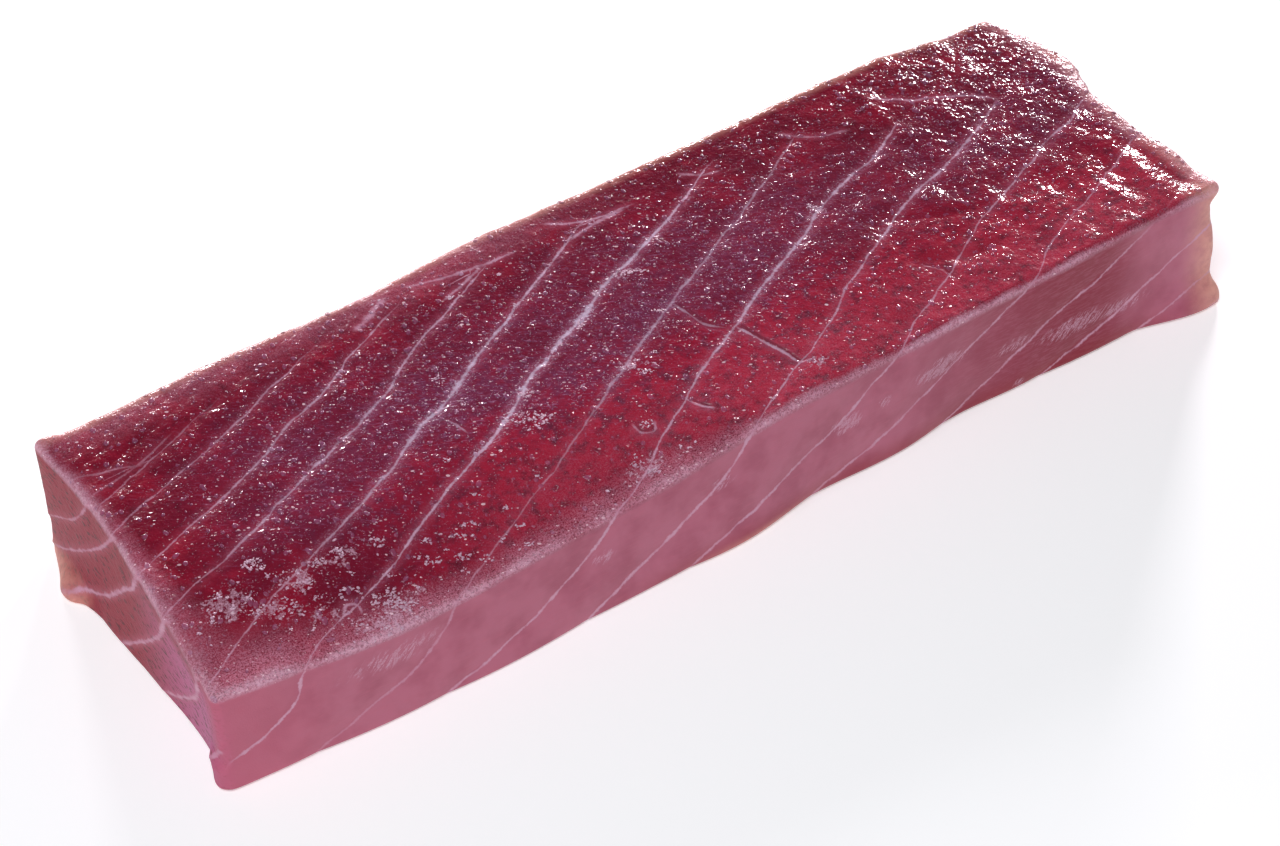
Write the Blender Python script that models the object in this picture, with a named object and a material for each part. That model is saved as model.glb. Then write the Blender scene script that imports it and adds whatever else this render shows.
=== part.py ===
"""A knife-cut block of raw tuna loin, lying on its flat base.

Frame: +X runs along the loin, -Y is the front cut face, +Z is up, and the origin is the middle of
the base's bounding box. Sizes below are millimetres, and become metres when the mesh is placed.
A block is bevelled and sliced into a fine grid, and each of its points is then carried to the true
outline, to the drooping top and to the flakes that the muscle splits into.
"""

import bmesh
import bpy
import numpy as np

MM = 0.001
NODE_NAME = "tuna_loin"

# Driving dimensions of the block
LENGTH = 270.0
WIDTH = 87.8
HEIGHT = 32.8
EDGE_RADIUS = 2.0
EDGE_SEGMENTS = 2

# Distance between the slices along and across the loin, and the heights of the level slices
SLICE_X = 3.4
SLICE_Y = 3.3
SLICE_HEIGHTS = (1.8, 4.2, 7.0, 10.0, 13.6, 17.2, 20.8, 24.4, 28.0)

# Plan outline of the block: (x, y) along the front and back, (y, x) along the two ends
FRONT_BASE = (
    (-136, -44.0), (-112, -46.2), (-90, -47.9), (-35, -47.0), (-6, -47.6),
    (14, -44.9), (40, -44.8), (60, -42.6), (78, -43.8), (100, -44.8), (137, -45.2),
)
FRONT_RIM = (
    (-136, -44.6), (-112, -46.4), (-90, -47.0), (-37, -45.9), (-16, -46.0),
    (2, -45.6), (39, -44.2), (79, -43.4), (118, -43.8), (137, -43.6),
)
BACK_BASE = ((-136, 44.5), (-60, 45.0), (60, 47.0), (137, 44.5))
BACK_RIM = (
    (-136, 43.4), (-96, 42.6), (-45, 43.6), (-28, 45.0), (14, 45.4),
    (87, 46.4), (106, 46.2), (114, 45.2), (137, 44.6),
)
LEFT_BASE = ((-45, -135.6), (-31, -134.3), (-10, -135.3), (14, -137.4), (45, -136.4))
LEFT_RIM = ((-45, -135.4), (-18, -134.2), (18, -133.2), (34, -134.0), (45, -135.6))
RIGHT_BASE = ((-44, 136.0), (0, 136.5), (46, 136.5))
RIGHT_RIM = ((-44, 136.2), (-20, 135.8), (0, 136.8), (20, 141.2), (34, 138.6), (46, 134.8))

# Height of the top (x, z) along its front rim, where the soft flesh droops, and along its back rim
FRONT_RIM_HEIGHT = (
    (-136, 29.2), (-120, 28.0), (-96, 25.6), (-60, 26.3), (-37, 27.2), (-14, 29.8),
    (4, 31.8), (40, 31.3), (80, 32.0), (118, 33.6), (137, 33.2),
)
BACK_RIM_HEIGHT = (
    (-136, 32.2), (-118, 33.1), (-90, 34.6), (-40, 34.6), (10, 34.7), (90, 35.2), (137, 34.4),
)
MID_RISE = 0.6
FRONT_DROOP_FROM = -48.0
FRONT_DROOP_WIDTH = 34.0
BACK_FALL_WIDTH = 44.0

# White sheets of tissue between the flakes: sheet 4 crosses the middle line of the top at SHEET_X
SHEET_X = -25.6
SHEET_PITCH = 32.4
SHEET_PITCH_GROWTH = 1.22
SHEET_PITCH_GROWTH_LEFT = 0.53
SHEET_SLANT = 1.88
SHEET_SLANT_SPREAD = 0.024
SHEET_SLANT_CENTRE = 4.9
SHEET_BEND = -0.0047
SHEET_LEAN = 0.92
SHEET_LEAN_GROWTH = 0.042
SHEET_CURL = 0.0104
SHEET_CURL_GROWTH = 0.0024
FIRST_SHEET = -4
LAST_SHEET = 14

# Relief: each flake crowns between two sheets, and the knife left long waves near the right end
FLAKE_CROWN = 0.55
FLAKE_CROWN_AT_BACK = 0.14
FLAKE_FADE_FROM = 26.0
FLAKE_FADE_WIDTH = 12.0
FACE_DEPTH = 9.0
KNIFE_WAVE_HEIGHT = 0.38
KNIFE_WAVE_PITCH = 14.5
KNIFE_WAVE_FROM = 66.0
KNIFE_WAVE_RAMP = 22.0
KNIFE_WAVE_SKEW = 0.08
KNIFE_WAVE_SNAKE = 0.6
KNIFE_WAVE_SNAKE_TURN = 0.053

# Swell of the hand-cut faces: (height, radians per millimetre along x, y and z, phase) of each wave
SWELL_WAVES = (
    (0.32, (0.059, 0.043, 0.0), 0.0),
    (0.19, (0.105, 0.0, -0.091), 1.3),
    (0.16, (0.032, 0.133, 0.0), 0.7),
)
SIDE_SWELL = 0.6
TOP_SWELL = 0.5

# Thin flap of skin-side flesh that sticks out of the left end at the base: (y, reach)
FLAP_REACH = (
    (16, 0.0), (20, 0.8), (23, 2.0), (25.5, 4.0), (28, 4.6),
    (34.5, 2.6), (39, 1.4), (45, 0.0),
)
FLAP_THICKNESS = 5.2

# Foot that spreads from the front left corner at the base, under a notch
FOOT_CENTRE_Y = -40.5
FOOT_HALF_WIDTH = 7.0
FOOT_REACH = 2.2
FOOT_HEIGHT = 9.0
FOOT_NOTCH_SHARPNESS = 2.5

# Lip that sags forward from the front right corner at the base
LIP_CENTRE_X = 131.0
LIP_HALF_WIDTH = 23.0
LIP_REACH = 3.8
LIP_HEIGHT = 9.0

# Ragged right end where the flakes part: (height, reach) at its front edge
RAGGED_REACH = (
    (0, 0.6), (3.5, 0.8), (7, -0.5), (10.5, 0.8), (17.5, 0.1),
    (22.5, -1.6), (26, -2.4), (29.5, -1.8), (33, 0.2),
)
RAGGED_FADE = 38.0
RAGGED_WAVE = 0.9
RAGGED_WAVE_TURN_Y = 0.11
RAGGED_WAVE_TURN_Z = 0.345

# Curled tip of the back left corner of the top
TIP_X = -133.0
TIP_Y = 43.0
TIP_RADIUS = 3.6
TIP_RISE = 1.5

FLESH_COLOUR = (0.225, 0.026, 0.052, 1.0)
FLESH_ROUGHNESS = 0.32


def ease(share):
    """A smooth step from 0 to 1."""
    share = np.clip(share, 0.0, 1.0)
    return share * share * (3.0 - 2.0 * share)


def through(points, along):
    """The smooth curve through the given (position, value) points, read at each place along it."""
    place = np.array([point[0] for point in points], float)
    value = np.array([point[1] for point in points], float)
    slope = np.gradient(value, place)
    along = np.clip(along, place[0], place[-1])
    left = np.clip(np.searchsorted(place, along, side="right") - 1, 0, len(place) - 2)
    span = place[left + 1] - place[left]
    t = (along - place[left]) / span
    start = (2 * t**3 - 3 * t**2 + 1) * value[left] + (t**3 - 2 * t**2 + t) * span * slope[left]
    end = (3 * t**2 - 2 * t**3) * value[left + 1] + (t**3 - t**2) * span * slope[left + 1]
    return start + end


def top_height(x, y):
    """Height of the top: level in the middle, drooping to the front and falling to the back rim."""
    crest = HEIGHT + MID_RISE
    off_front = ease((y - FRONT_DROOP_FROM) / FRONT_DROOP_WIDTH)
    off_middle = ease(y / BACK_FALL_WIDTH)
    inner = crest + (through(BACK_RIM_HEIGHT, x) - crest) * off_middle
    rim = through(FRONT_RIM_HEIGHT, x)
    return rim + (inner - rim) * off_front


def sheet_x(index, y, z):
    """Where the sheet of this number crosses a line along X at (y, z)."""
    right = max(index - 4, 0)
    left = min(index - 4, 0)
    crossing = SHEET_X + SHEET_PITCH * (index - 4)
    crossing += SHEET_PITCH_GROWTH * right**2 + SHEET_PITCH_GROWTH_LEFT * left**2
    slant = SHEET_SLANT + SHEET_SLANT_SPREAD * (index - SHEET_SLANT_CENTRE) ** 2
    below = HEIGHT - z
    lean = (SHEET_LEAN + SHEET_LEAN_GROWTH * right) * below
    curl = (SHEET_CURL + SHEET_CURL_GROWTH * right) * below**2
    return crossing + slant * y + SHEET_BEND * y * np.abs(y) - lean - curl


def flake_position(x, y, z):
    """The place of each point between the sheets: a whole number on a sheet, a half midway."""
    indices = range(FIRST_SHEET, LAST_SHEET + 1)
    crossings = np.stack([sheet_x(index, y, z) for index in indices])
    count = (crossings <= x).sum(axis=0)
    left = np.clip(count - 1, 0, len(crossings) - 2)
    points = np.arange(len(x))
    start = crossings[left, points]
    end = crossings[left + 1, points]
    return FIRST_SHEET + left + np.clip((x - start) / (end - start), 0.0, 1.0)


def crown(x, y, z):
    """How far each flake stands proud of its sheets, fading where the sheets turn at the back."""
    between = flake_position(x, y, z) % 1.0
    fade = 1.0 - ease((y - FLAKE_FADE_FROM) / FLAKE_FADE_WIDTH)
    height = FLAKE_CROWN_AT_BACK + (FLAKE_CROWN - FLAKE_CROWN_AT_BACK) * fade
    return height * (4.0 * between * (1.0 - between) - 0.5)


def hand_cut(x, y, z):
    """The slow, uneven swell of a surface cut by hand."""
    swell = np.zeros_like(x)
    for height, turn, phase in SWELL_WAVES:
        swell += height * np.sin(turn[0] * x + turn[1] * y + turn[2] * z + phase)
    return swell


def knife_waves(x, y):
    """Long waves that the knife left across the top near the right end."""
    strength = ease((x - KNIFE_WAVE_FROM) / KNIFE_WAVE_RAMP)
    snake = KNIFE_WAVE_SNAKE * np.sin(KNIFE_WAVE_SNAKE_TURN * y)
    turn = 2 * np.pi * (x + KNIFE_WAVE_SKEW * y) / KNIFE_WAVE_PITCH
    return KNIFE_WAVE_HEIGHT * strength * np.sin(turn + snake)


def warp_to_outline(x, y, z):
    """Carries the points of the plain block to its plan outline, which changes from base to rim."""
    up = z / HEIGHT
    front = through(FRONT_BASE, x) * (1 - up) + through(FRONT_RIM, x) * up
    back = through(BACK_BASE, x) * (1 - up) + through(BACK_RIM, x) * up
    warped_y = front + (y / WIDTH + 0.5) * (back - front)
    left = through(LEFT_BASE, warped_y) * (1 - up) + through(LEFT_RIM, warped_y) * up
    right = through(RIGHT_BASE, warped_y) * (1 - up) + through(RIGHT_RIM, warped_y) * up
    return left + (x / LENGTH + 0.5) * (right - left), warped_y


def end_forms(x, y, z, at_left, at_right):
    """Pushes along X at the two ends: the flap and the foot on the left, ragged flakes on the right."""
    flap = through(FLAP_REACH, y) * ease(1 - z / FLAP_THICKNESS)
    across = np.clip(1 - np.abs(y - FOOT_CENTRE_Y) / FOOT_HALF_WIDTH, 0, 1)
    foot = FOOT_REACH * ease(across) * ease(FOOT_NOTCH_SHARPNESS * (1 - z / FOOT_HEIGHT))
    near_front = ease(1 - (y + WIDTH / 2) / RAGGED_FADE)
    ragged = through(RAGGED_REACH, z) * near_front
    wave = np.sin(RAGGED_WAVE_TURN_Z * z + RAGGED_WAVE_TURN_Y * y)
    ragged += RAGGED_WAVE * wave * (1 - near_front)
    return at_right * ragged - at_left * (flap + foot)


def front_lip(x, z, at_front):
    """Push along Y that spreads the lip from the front right corner."""
    across = np.clip(1 - np.abs(x - LIP_CENTRE_X) / LIP_HALF_WIDTH, 0, 1)
    return -at_front * LIP_REACH * ease(across) * ease(1 - z / LIP_HEIGHT)


def shape(points):
    """The true place of every point of the plain block, in millimetres."""
    block_x, block_y, block_z = points.T
    at_left = ease(1 - (block_x + LENGTH / 2) / FACE_DEPTH)
    at_right = ease(1 - (LENGTH / 2 - block_x) / FACE_DEPTH)
    at_front = ease(1 - (block_y + WIDTH / 2) / FACE_DEPTH)
    at_back = ease(1 - (WIDTH / 2 - block_y) / FACE_DEPTH)
    at_top = ease(1 - (HEIGHT - block_z) / FACE_DEPTH)

    x, y = warp_to_outline(block_x, block_y, block_z)
    up = block_z / HEIGHT
    z = up * top_height(x, y)
    proud = crown(x, y, z)
    swell = hand_cut(x, y, z)
    out = proud + SIDE_SWELL * swell
    tip = np.exp(-((x - TIP_X) ** 2 + (y - TIP_Y) ** 2) / TIP_RADIUS**2)
    shaped_x = x + end_forms(x, y, z, at_left, at_right) + (at_right - at_left) * out
    shaped_y = y + front_lip(x, z, at_front) + (at_back - at_front) * out
    lift = proud + TOP_SWELL * swell + knife_waves(x, y) + TIP_RISE * tip
    shaped_z = z + at_top * lift
    return np.stack([shaped_x, shaped_y, np.maximum(shaped_z, 0.0)], axis=1)


def slice_places(size, pitch, margin):
    """Even cuts over a side, at about this pitch, starting and ending inside the bevels."""
    reach = size / 2 - margin
    count = max(round(2 * reach / pitch), 1)
    return np.linspace(-reach, reach, count + 1)


def slice_block(mesh, axis, places):
    """Cuts every face of the block along planes square to one axis."""
    normal = [0.0, 0.0, 0.0]
    normal[axis] = 1.0
    for place in places:
        point = [0.0, 0.0, 0.0]
        point[axis] = float(place)
        geometry = mesh.verts[:] + mesh.edges[:] + mesh.faces[:]
        bmesh.ops.bisect_plane(mesh, geom=geometry, dist=1e-5, plane_co=point, plane_no=normal)


def plain_block():
    """A block with rounded top and upright edges, sliced into a grid, base at z = 0."""
    mesh = bmesh.new()
    bmesh.ops.create_cube(mesh, size=1.0)
    bmesh.ops.scale(mesh, vec=(LENGTH, WIDTH, HEIGHT), verts=mesh.verts)
    bmesh.ops.translate(mesh, vec=(0.0, 0.0, HEIGHT / 2), verts=mesh.verts)
    rounded = [edge for edge in mesh.edges if any(vert.co.z > HEIGHT / 2 for vert in edge.verts)]
    bmesh.ops.bevel(
        mesh, geom=rounded, offset=EDGE_RADIUS, segments=EDGE_SEGMENTS, profile=0.5, affect="EDGES"
    )
    slice_block(mesh, 0, slice_places(LENGTH, SLICE_X, EDGE_RADIUS + 0.8))
    slice_block(mesh, 1, slice_places(WIDTH, SLICE_Y, EDGE_RADIUS + 0.8))
    slice_block(mesh, 2, SLICE_HEIGHTS)
    return mesh


def flesh_material():
    """Deep crimson raw flesh with a moist shine."""
    material = bpy.data.materials.new("raw_tuna_flesh")
    material.use_nodes = True
    shader = material.node_tree.nodes["Principled BSDF"]
    shader.inputs["Base Color"].default_value = FLESH_COLOUR
    shader.inputs["Roughness"].default_value = FLESH_ROUGHNESS
    shader.inputs["Metallic"].default_value = 0.0
    return material


def build_loin():
    """The loin as one closed mesh, its origin at the middle of its base."""
    mesh = plain_block()
    shaped = shape(np.array([vert.co[:] for vert in mesh.verts]))
    middle = (shaped.min(axis=0) + shaped.max(axis=0)) / 2
    middle[2] = 0.0
    for vert, place in zip(mesh.verts, (shaped - middle) * MM):
        vert.co = place
    bmesh.ops.recalc_face_normals(mesh, faces=mesh.faces)
    data = bpy.data.meshes.new(NODE_NAME)
    mesh.to_mesh(data)
    mesh.free()
    data.shade_smooth()
    data.materials.append(flesh_material())
    loin = bpy.data.objects.new(NODE_NAME, data)
    bpy.context.scene.collection.objects.link(loin)
    return loin


def main():
    """Empties the scene and builds the loin."""
    for old in list(bpy.data.objects):
        bpy.data.objects.remove(old)
    build_loin()


main()
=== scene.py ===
"""Raw tuna loin: moist, knife-cut flesh with white tissue lines, on a plain pale floor.

The visible flesh is one fine skin over the block's own form. Water beads and frost crumbs lie on
it. Lengths are millimetres in the frame in which the form is described, and each mesh is carried
to the solid's frame, in metres, as it is placed.
"""

from __future__ import annotations

import logging
import math
from dataclasses import dataclass, field
from enum import Enum
from typing import Any, Sequence, Union

import bpy
import numpy as np
from mathutils import Matrix, Vector, geometry


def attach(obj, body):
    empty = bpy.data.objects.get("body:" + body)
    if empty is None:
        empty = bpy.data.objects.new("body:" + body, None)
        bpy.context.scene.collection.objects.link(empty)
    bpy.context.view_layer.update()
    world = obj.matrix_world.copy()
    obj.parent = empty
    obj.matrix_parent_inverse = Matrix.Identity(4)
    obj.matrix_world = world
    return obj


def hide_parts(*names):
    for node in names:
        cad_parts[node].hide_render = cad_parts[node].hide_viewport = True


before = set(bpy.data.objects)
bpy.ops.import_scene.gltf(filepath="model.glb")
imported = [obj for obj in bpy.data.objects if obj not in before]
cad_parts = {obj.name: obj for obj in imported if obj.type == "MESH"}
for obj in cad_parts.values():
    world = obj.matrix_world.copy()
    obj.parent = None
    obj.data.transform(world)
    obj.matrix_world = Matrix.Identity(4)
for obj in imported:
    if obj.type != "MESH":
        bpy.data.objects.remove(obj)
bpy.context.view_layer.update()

LOG = logging.getLogger("tuna_loin")
MM = 0.001
NODE = "tuna_loin"
BODY = "root"
# The power that narrows a face's share to the points that lie well on that face
SHARP = 8

Array = np.ndarray
Curve = tuple[tuple[float, float], ...]
Colour = tuple[float, float, float, float]


def ease(share: Array) -> Array:
    """A smooth step from 0 to 1."""
    share = np.clip(share, 0.0, 1.0)
    return share * share * (3.0 - 2.0 * share)


def through(points: Curve, along: Array) -> Array:
    """The smooth curve through the given (position, value) points.

    Args:
        points: The places and values that the curve passes through, in order of place.
        along: Where the curve is read.

    Returns:
        The curve's value at each place.
    """
    place = np.array([point[0] for point in points], float)
    value = np.array([point[1] for point in points], float)
    slope = np.gradient(value, place)
    along = np.clip(along, place[0], place[-1])
    left = np.clip(np.searchsorted(place, along, side="right") - 1, 0, len(place) - 2)
    span = place[left + 1] - place[left]
    t = (along - place[left]) / span
    start = (2 * t**3 - 3 * t**2 + 1) * value[left] + (t**3 - 2 * t**2 + t) * span * slope[left]
    end = (3 * t**2 - 2 * t**3) * value[left + 1] + (t**3 - t**2) * span * slope[left + 1]
    return start + end


def ramp(along: Array, start: float, end: float) -> Array:
    """A smooth step from 0 at the start to 1 at the end."""
    return ease((along - start) / (end - start))


def tapered(share: Array, rate: float, least: float = 0.0) -> Array:
    """Fades a line out toward both of its ends.

    Args:
        share: The share of the way along the line.
        rate: How many fades would fit on the line.
        least: What is left at its very ends.

    Returns:
        A share for each point.
    """
    return ease(rate * share + least) * ease(rate * (1 - share) + least)


def bell(distance: Array, width: float) -> Array:
    """A bell curve, 1 at no distance."""
    return np.exp(-((distance / width) ** 2))


def srgb(red: int, green: int, blue: int) -> Colour:
    """The linear colour of a screen colour given from 0 to 255.

    Args:
        red: The red part.
        green: The green part.
        blue: The blue part.

    Returns:
        The colour's linear parts, and full cover.
    """
    parts = [value / 255.0 for value in (red, green, blue)]
    linear = [v / 12.92 if v <= 0.04045 else ((v + 0.055) / 1.055) ** 2.4 for v in parts]
    return (linear[0], linear[1], linear[2], 1.0)


class Lumps:
    """Smooth seeded noise over space, from -1 to 1."""

    CELLS = 64

    def __init__(self, seed: int) -> None:
        """Draws the noise's table of random values.

        Args:
            seed: The number that fixes every value.
        """
        self.table = np.random.default_rng(seed).random((self.CELLS,) * 3) * 2.0 - 1.0

    def at(self, points: Array, size: Union[float, tuple[float, float, float]]) -> Array:
        """Reads the noise.

        Args:
            points: Places in millimetres, one per row.
            size: The size of one lump in millimetres, the same all round or one per axis.

        Returns:
            One value for each point.
        """
        scaled = points / np.asarray(size, float)
        corner = np.floor(scaled).astype(int)
        part = scaled - corner
        part = part * part * (3.0 - 2.0 * part)
        total = np.zeros(len(points))
        for dx in (0, 1):
            for dy in (0, 1):
                for dz in (0, 1):
                    step = np.array((dx, dy, dz))
                    share = np.prod(np.where(step == 1, part, 1.0 - part), axis=1)
                    i, j, k = ((corner + step) % self.CELLS).T
                    total += share * self.table[i, j, k]
        return total


@dataclass(frozen=True)
class Faces:
    """How near each point of the block is to each of its faces, from 0 to 1."""

    top: Array
    front: Array
    back: Array
    left: Array
    right: Array


@dataclass(frozen=True)
class LoinForm:
    """The block's true form, as the solid has it: outline, drooping top, ends and flakes."""

    length: float = 270.0
    width: float = 87.8
    height: float = 32.8
    edge_radius: float = 2.0
    base_edge_drop: float = 0.9
    face_depth: float = 9.0
    front_base: Curve = (
        (-136, -44.0), (-112, -46.2), (-90, -47.9), (-35, -47.0), (-6, -47.6),
        (14, -44.9), (40, -44.8), (60, -42.6), (78, -43.8), (100, -44.8), (137, -45.2),
    )
    front_rim: Curve = (
        (-136, -44.6), (-112, -46.4), (-90, -47.0), (-37, -45.9), (-16, -46.0),
        (2, -45.6), (39, -44.2), (79, -43.4), (118, -43.8), (137, -43.6),
    )
    back_base: Curve = ((-136, 44.5), (-60, 45.0), (60, 47.0), (137, 44.5))
    back_rim: Curve = (
        (-136, 43.4), (-96, 42.6), (-45, 43.6), (-28, 45.0), (14, 45.4),
        (87, 46.4), (106, 46.2), (114, 45.2), (137, 44.6),
    )
    left_base: Curve = ((-45, -135.6), (-31, -134.3), (-10, -135.3), (14, -137.4), (45, -136.4))
    left_rim: Curve = ((-45, -135.4), (-18, -134.2), (18, -133.2), (34, -134.0), (45, -135.6))
    right_base: Curve = ((-44, 136.0), (0, 136.5), (46, 136.5))
    right_rim: Curve = (
        (-44, 136.2), (-20, 135.8), (0, 136.8), (20, 140.3), (34, 138.4), (46, 134.8),
    )
    front_rim_height: Curve = (
        (-136, 29.2), (-120, 28.0), (-96, 25.6), (-60, 26.3), (-37, 27.2), (-14, 29.8),
        (4, 31.8), (40, 31.3), (80, 32.0), (118, 33.6), (137, 33.2),
    )
    back_rim_height: Curve = (
        (-136, 32.2), (-118, 33.1), (-90, 34.6), (-40, 34.6), (10, 34.7), (90, 35.2), (137, 34.4),
    )
    mid_rise: float = 0.6
    droop_from: float = -48.0
    droop_width: float = 34.0
    back_fall_width: float = 44.0
    sheet_origin: float = -25.6
    sheet_pitch: float = 32.4
    sheet_growth: float = 1.22
    sheet_growth_left: float = 0.53
    sheet_slant: float = 1.88
    sheet_slant_spread: float = 0.024
    sheet_slant_centre: float = 4.9
    sheet_bend: float = -0.0047
    sheet_lean: float = 0.92
    sheet_lean_growth: float = 0.042
    sheet_curl: float = 0.0104
    sheet_curl_growth: float = 0.0024
    sheet_shifts: tuple[Curve, ...] = (
        ((8, -2.6), (14, -1.7), (19, 0.4), (24, -0.3)),
        ((-5, 1.7), (1, 3.3), (6, 4.1), (13, 1.2), (19, 1.4), (25, -2.7)),
        ((-20, -3), (-14, 0.7), (-9, 1.9), (-3, 1.7), (6, 3.1), (11, 2), (17, -2.2), (26, -2.8)),
        ((-32, -1.4), (-26, -0.9), (-22, 1.9), (-17, 4.3), (-12, 4.3), (-4, 1.9), (1, 2.3),
         (6, -0.4), (13, -1.5), (19, -2.8), (26, -2.9)),
        ((-65, -4.4), (-60, -0.2), (-55, -0.6), (-48, -6.1), (-43, -7.1), (-36, -2.1),
         (-32, -0.1), (-28, -0.2), (-22, 0.6), (-17, 2.5), (-12, 2.1), (-6, -1.1), (6, -1.8),
         (14, -1.8), (20, 1.6), (26, 3.7)),
        ((-73, -3.2), (-68, -1.2), (-61, 3.2), (-54, 1.9), (-47, -1.9), (-40, -1.5), (-34, 0.2),
         (-29, 1), (-20, 0.5), (-9, -0.1), (1, -1.2), (7, -1), (15, -0.2), (21, 0)),
        ((-72, -0.6), (-69, 2.7), (-64, 4.5), (-58, 4.6), (-51, 3), (-46, 1), (-40, 1.5),
         (-35, -0.4), (-24, -2.1), (-17, -1.2), (-10, -2.4), (-4, -1.3), (2, -1.5), (6, -3.3),
         (11, -1), (14, 4.1)),
        ((-73, 3), (-65, 1.7), (-54, 0.6), (-45, -2.7), (-35, -1.1), (-29, 0.8), (-22, -1.9),
         (-14, -3), (-7, -3.2), (-2, -2.9), (2, 1.6), (8, 2.9)),
        ((-74, -0.9), (-64, 0.8), (-58, 1.3), (-51, 0.4), (-44, 0.8), (-39, -1.2), (-34, 0),
         (-29, 0.2), (-21, -2.5), (-17, -1.3), (-11, 0.6), (-6, 1.4), (-2, 3.7)),
        ((-76, -1.1), (-70, 0.4), (-57, -0.3), (-50, 0.4), (-43, 2.6), (-36, -0.9), (-32, -0.9),
         (-28, 1.7)),
        ((-72, 2.4), (-64, -2.7), (-58, -3.9), (-52, 1.1), (-44, 4)),
        ((-74, -0.1), (-69, 0.6), (-63, -0.4), (-57, 0.2)),
    )
    first_sheet: int = -4
    last_sheet: int = 14
    flake_crown: float = 0.55
    flake_crown_at_back: float = 0.14
    flake_fade_from: float = 26.0
    flake_fade_width: float = 12.0
    knife_wave_height: float = 0.2
    knife_wave_pitch: float = 14.5
    knife_wave_from: float = 66.0
    knife_wave_ramp: float = 22.0
    knife_wave_skew: float = 0.08
    knife_wave_snake: float = 0.6
    knife_wave_snake_turn: float = 0.053
    swell_waves: tuple[tuple[float, tuple[float, float, float], float], ...] = (
        (0.32, (0.059, 0.043, 0.0), 0.0),
        (0.19, (0.105, 0.0, -0.091), 1.3),
        (0.16, (0.032, 0.133, 0.0), 0.7),
    )
    side_swell: float = 0.6
    top_swell: float = 0.5
    flap_reach: Curve = (
        (16, 0.0), (20, 0.8), (23, 2.0), (25.5, 4.0), (28, 4.6),
        (34.5, 2.6), (39, 1.4), (45, 0.0),
    )
    flap_thickness: float = 5.2
    foot_centre_y: float = -40.5
    foot_half_width: float = 7.0
    foot_reach: float = 2.2
    foot_height: float = 9.0
    foot_notch_sharpness: float = 2.5
    lip_centre_x: float = 131.0
    lip_half_width: float = 23.0
    lip_reach: float = 3.8
    lip_height: float = 12.0
    ragged_reach: Curve = (
        (0, 0.4), (3.5, 0.4), (6.5, -0.5), (9, -0.3), (17.5, -0.6),
        (22.5, -0.9), (26, -1.9), (29.5, -2.2), (31.4, -0.4), (33, 0.4),
    )
    ragged_fade: float = 38.0
    ragged_wave: float = 0.6
    ragged_wave_turn: tuple[float, float] = (0.11, 0.345)
    tip_place: tuple[float, float] = (-133.0, 43.0)
    tip_radius: float = 3.6
    tip_rise: float = 1.5

    def faces(self, block: Array) -> Faces:
        """How near each point of the plain block is to each face.

        Args:
            block: Points on the plain block.

        Returns:
            Five shares for each point.
        """
        x, y, z = block.T
        depth = self.face_depth
        return Faces(
            top=ease(1 - (self.height - z) / depth),
            front=ease(1 - (y + self.width / 2) / depth),
            back=ease(1 - (self.width / 2 - y) / depth),
            left=ease(1 - (x + self.length / 2) / depth),
            right=ease(1 - (self.length / 2 - x) / depth),
        )

    def round_edges(self, block: Array) -> tuple[Array, Array]:
        """Rounds the plain block's edges.

        Args:
            block: Points on the sharp-edged block, base at z = 0.

        Returns:
            The rounded points, and the outward direction at each of them.
        """
        radius = self.edge_radius
        low = np.array((-self.length / 2 + radius, -self.width / 2 + radius, self.base_edge_drop))
        high = np.array((self.length / 2 - radius, self.width / 2 - radius, self.height - radius))
        inner = np.clip(block, low, high)
        reach = np.full_like(block, radius)
        reach[:, 2] = np.where(block[:, 2] < self.base_edge_drop, self.base_edge_drop, radius)
        out = (block - inner) / reach
        out /= np.linalg.norm(out, axis=1, keepdims=True)
        normal = out / reach
        return inner + out * reach, normal / np.linalg.norm(normal, axis=1, keepdims=True)

    def top_height(self, x: Array, y: Array) -> Array:
        """Height of the top, drooping to the front and falling to the back rim.

        Args:
            x: Places along the loin.
            y: Places across it.

        Returns:
            The height above the base, in millimetres.
        """
        crest = self.height + self.mid_rise
        off_front = ease((y - self.droop_from) / self.droop_width)
        off_middle = ease(y / self.back_fall_width)
        inner = crest + (through(self.back_rim_height, x) - crest) * off_middle
        rim = through(self.front_rim_height, x)
        return rim + (inner - rim) * off_front

    def sheet_x(self, index: int, y: Array, z: Array) -> Array:
        """Where the tissue sheet of this number crosses a line along X at (y, z).

        Args:
            index: The sheet's number, counted from the left.
            y: Places across the loin.
            z: Heights above the base.

        Returns:
            The crossing's place along the loin.
        """
        right = max(index - 4, 0)
        left = min(index - 4, 0)
        crossing = self.sheet_origin + self.sheet_pitch * (index - 4)
        crossing += self.sheet_growth * right**2 + self.sheet_growth_left * left**2
        slant = self.sheet_slant + self.sheet_slant_spread * (index - self.sheet_slant_centre) ** 2
        below = self.height - z
        lean = (self.sheet_lean + self.sheet_lean_growth * right) * below
        curl = (self.sheet_curl + self.sheet_curl_growth * right) * below**2
        return crossing + slant * y + self.sheet_bend * y * np.abs(y) - lean - curl

    def flake_position(self, points: Array) -> Array:
        """The place of each point between the sheets: a whole number on a sheet.

        Args:
            points: Points on the loin, one per row.

        Returns:
            The sheet's number plus the share of the way to the next one.
        """
        x, y, z = points.T
        indices = range(self.first_sheet, self.last_sheet + 1)
        crossings = np.stack([self.sheet_x(index, y, z) for index in indices])
        along = y - np.maximum(self.top_height(x, y) - z, 0.0)
        for index, shift in enumerate(self.sheet_shifts):
            crossings[index - self.first_sheet] += through(shift, along)
        left = np.clip((crossings <= x).sum(axis=0) - 1, 0, len(crossings) - 2)
        column = np.arange(len(x))
        start = crossings[left, column]
        end = crossings[left + 1, column]
        return self.first_sheet + left + np.clip((x - start) / (end - start), 0.0, 1.0)

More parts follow.
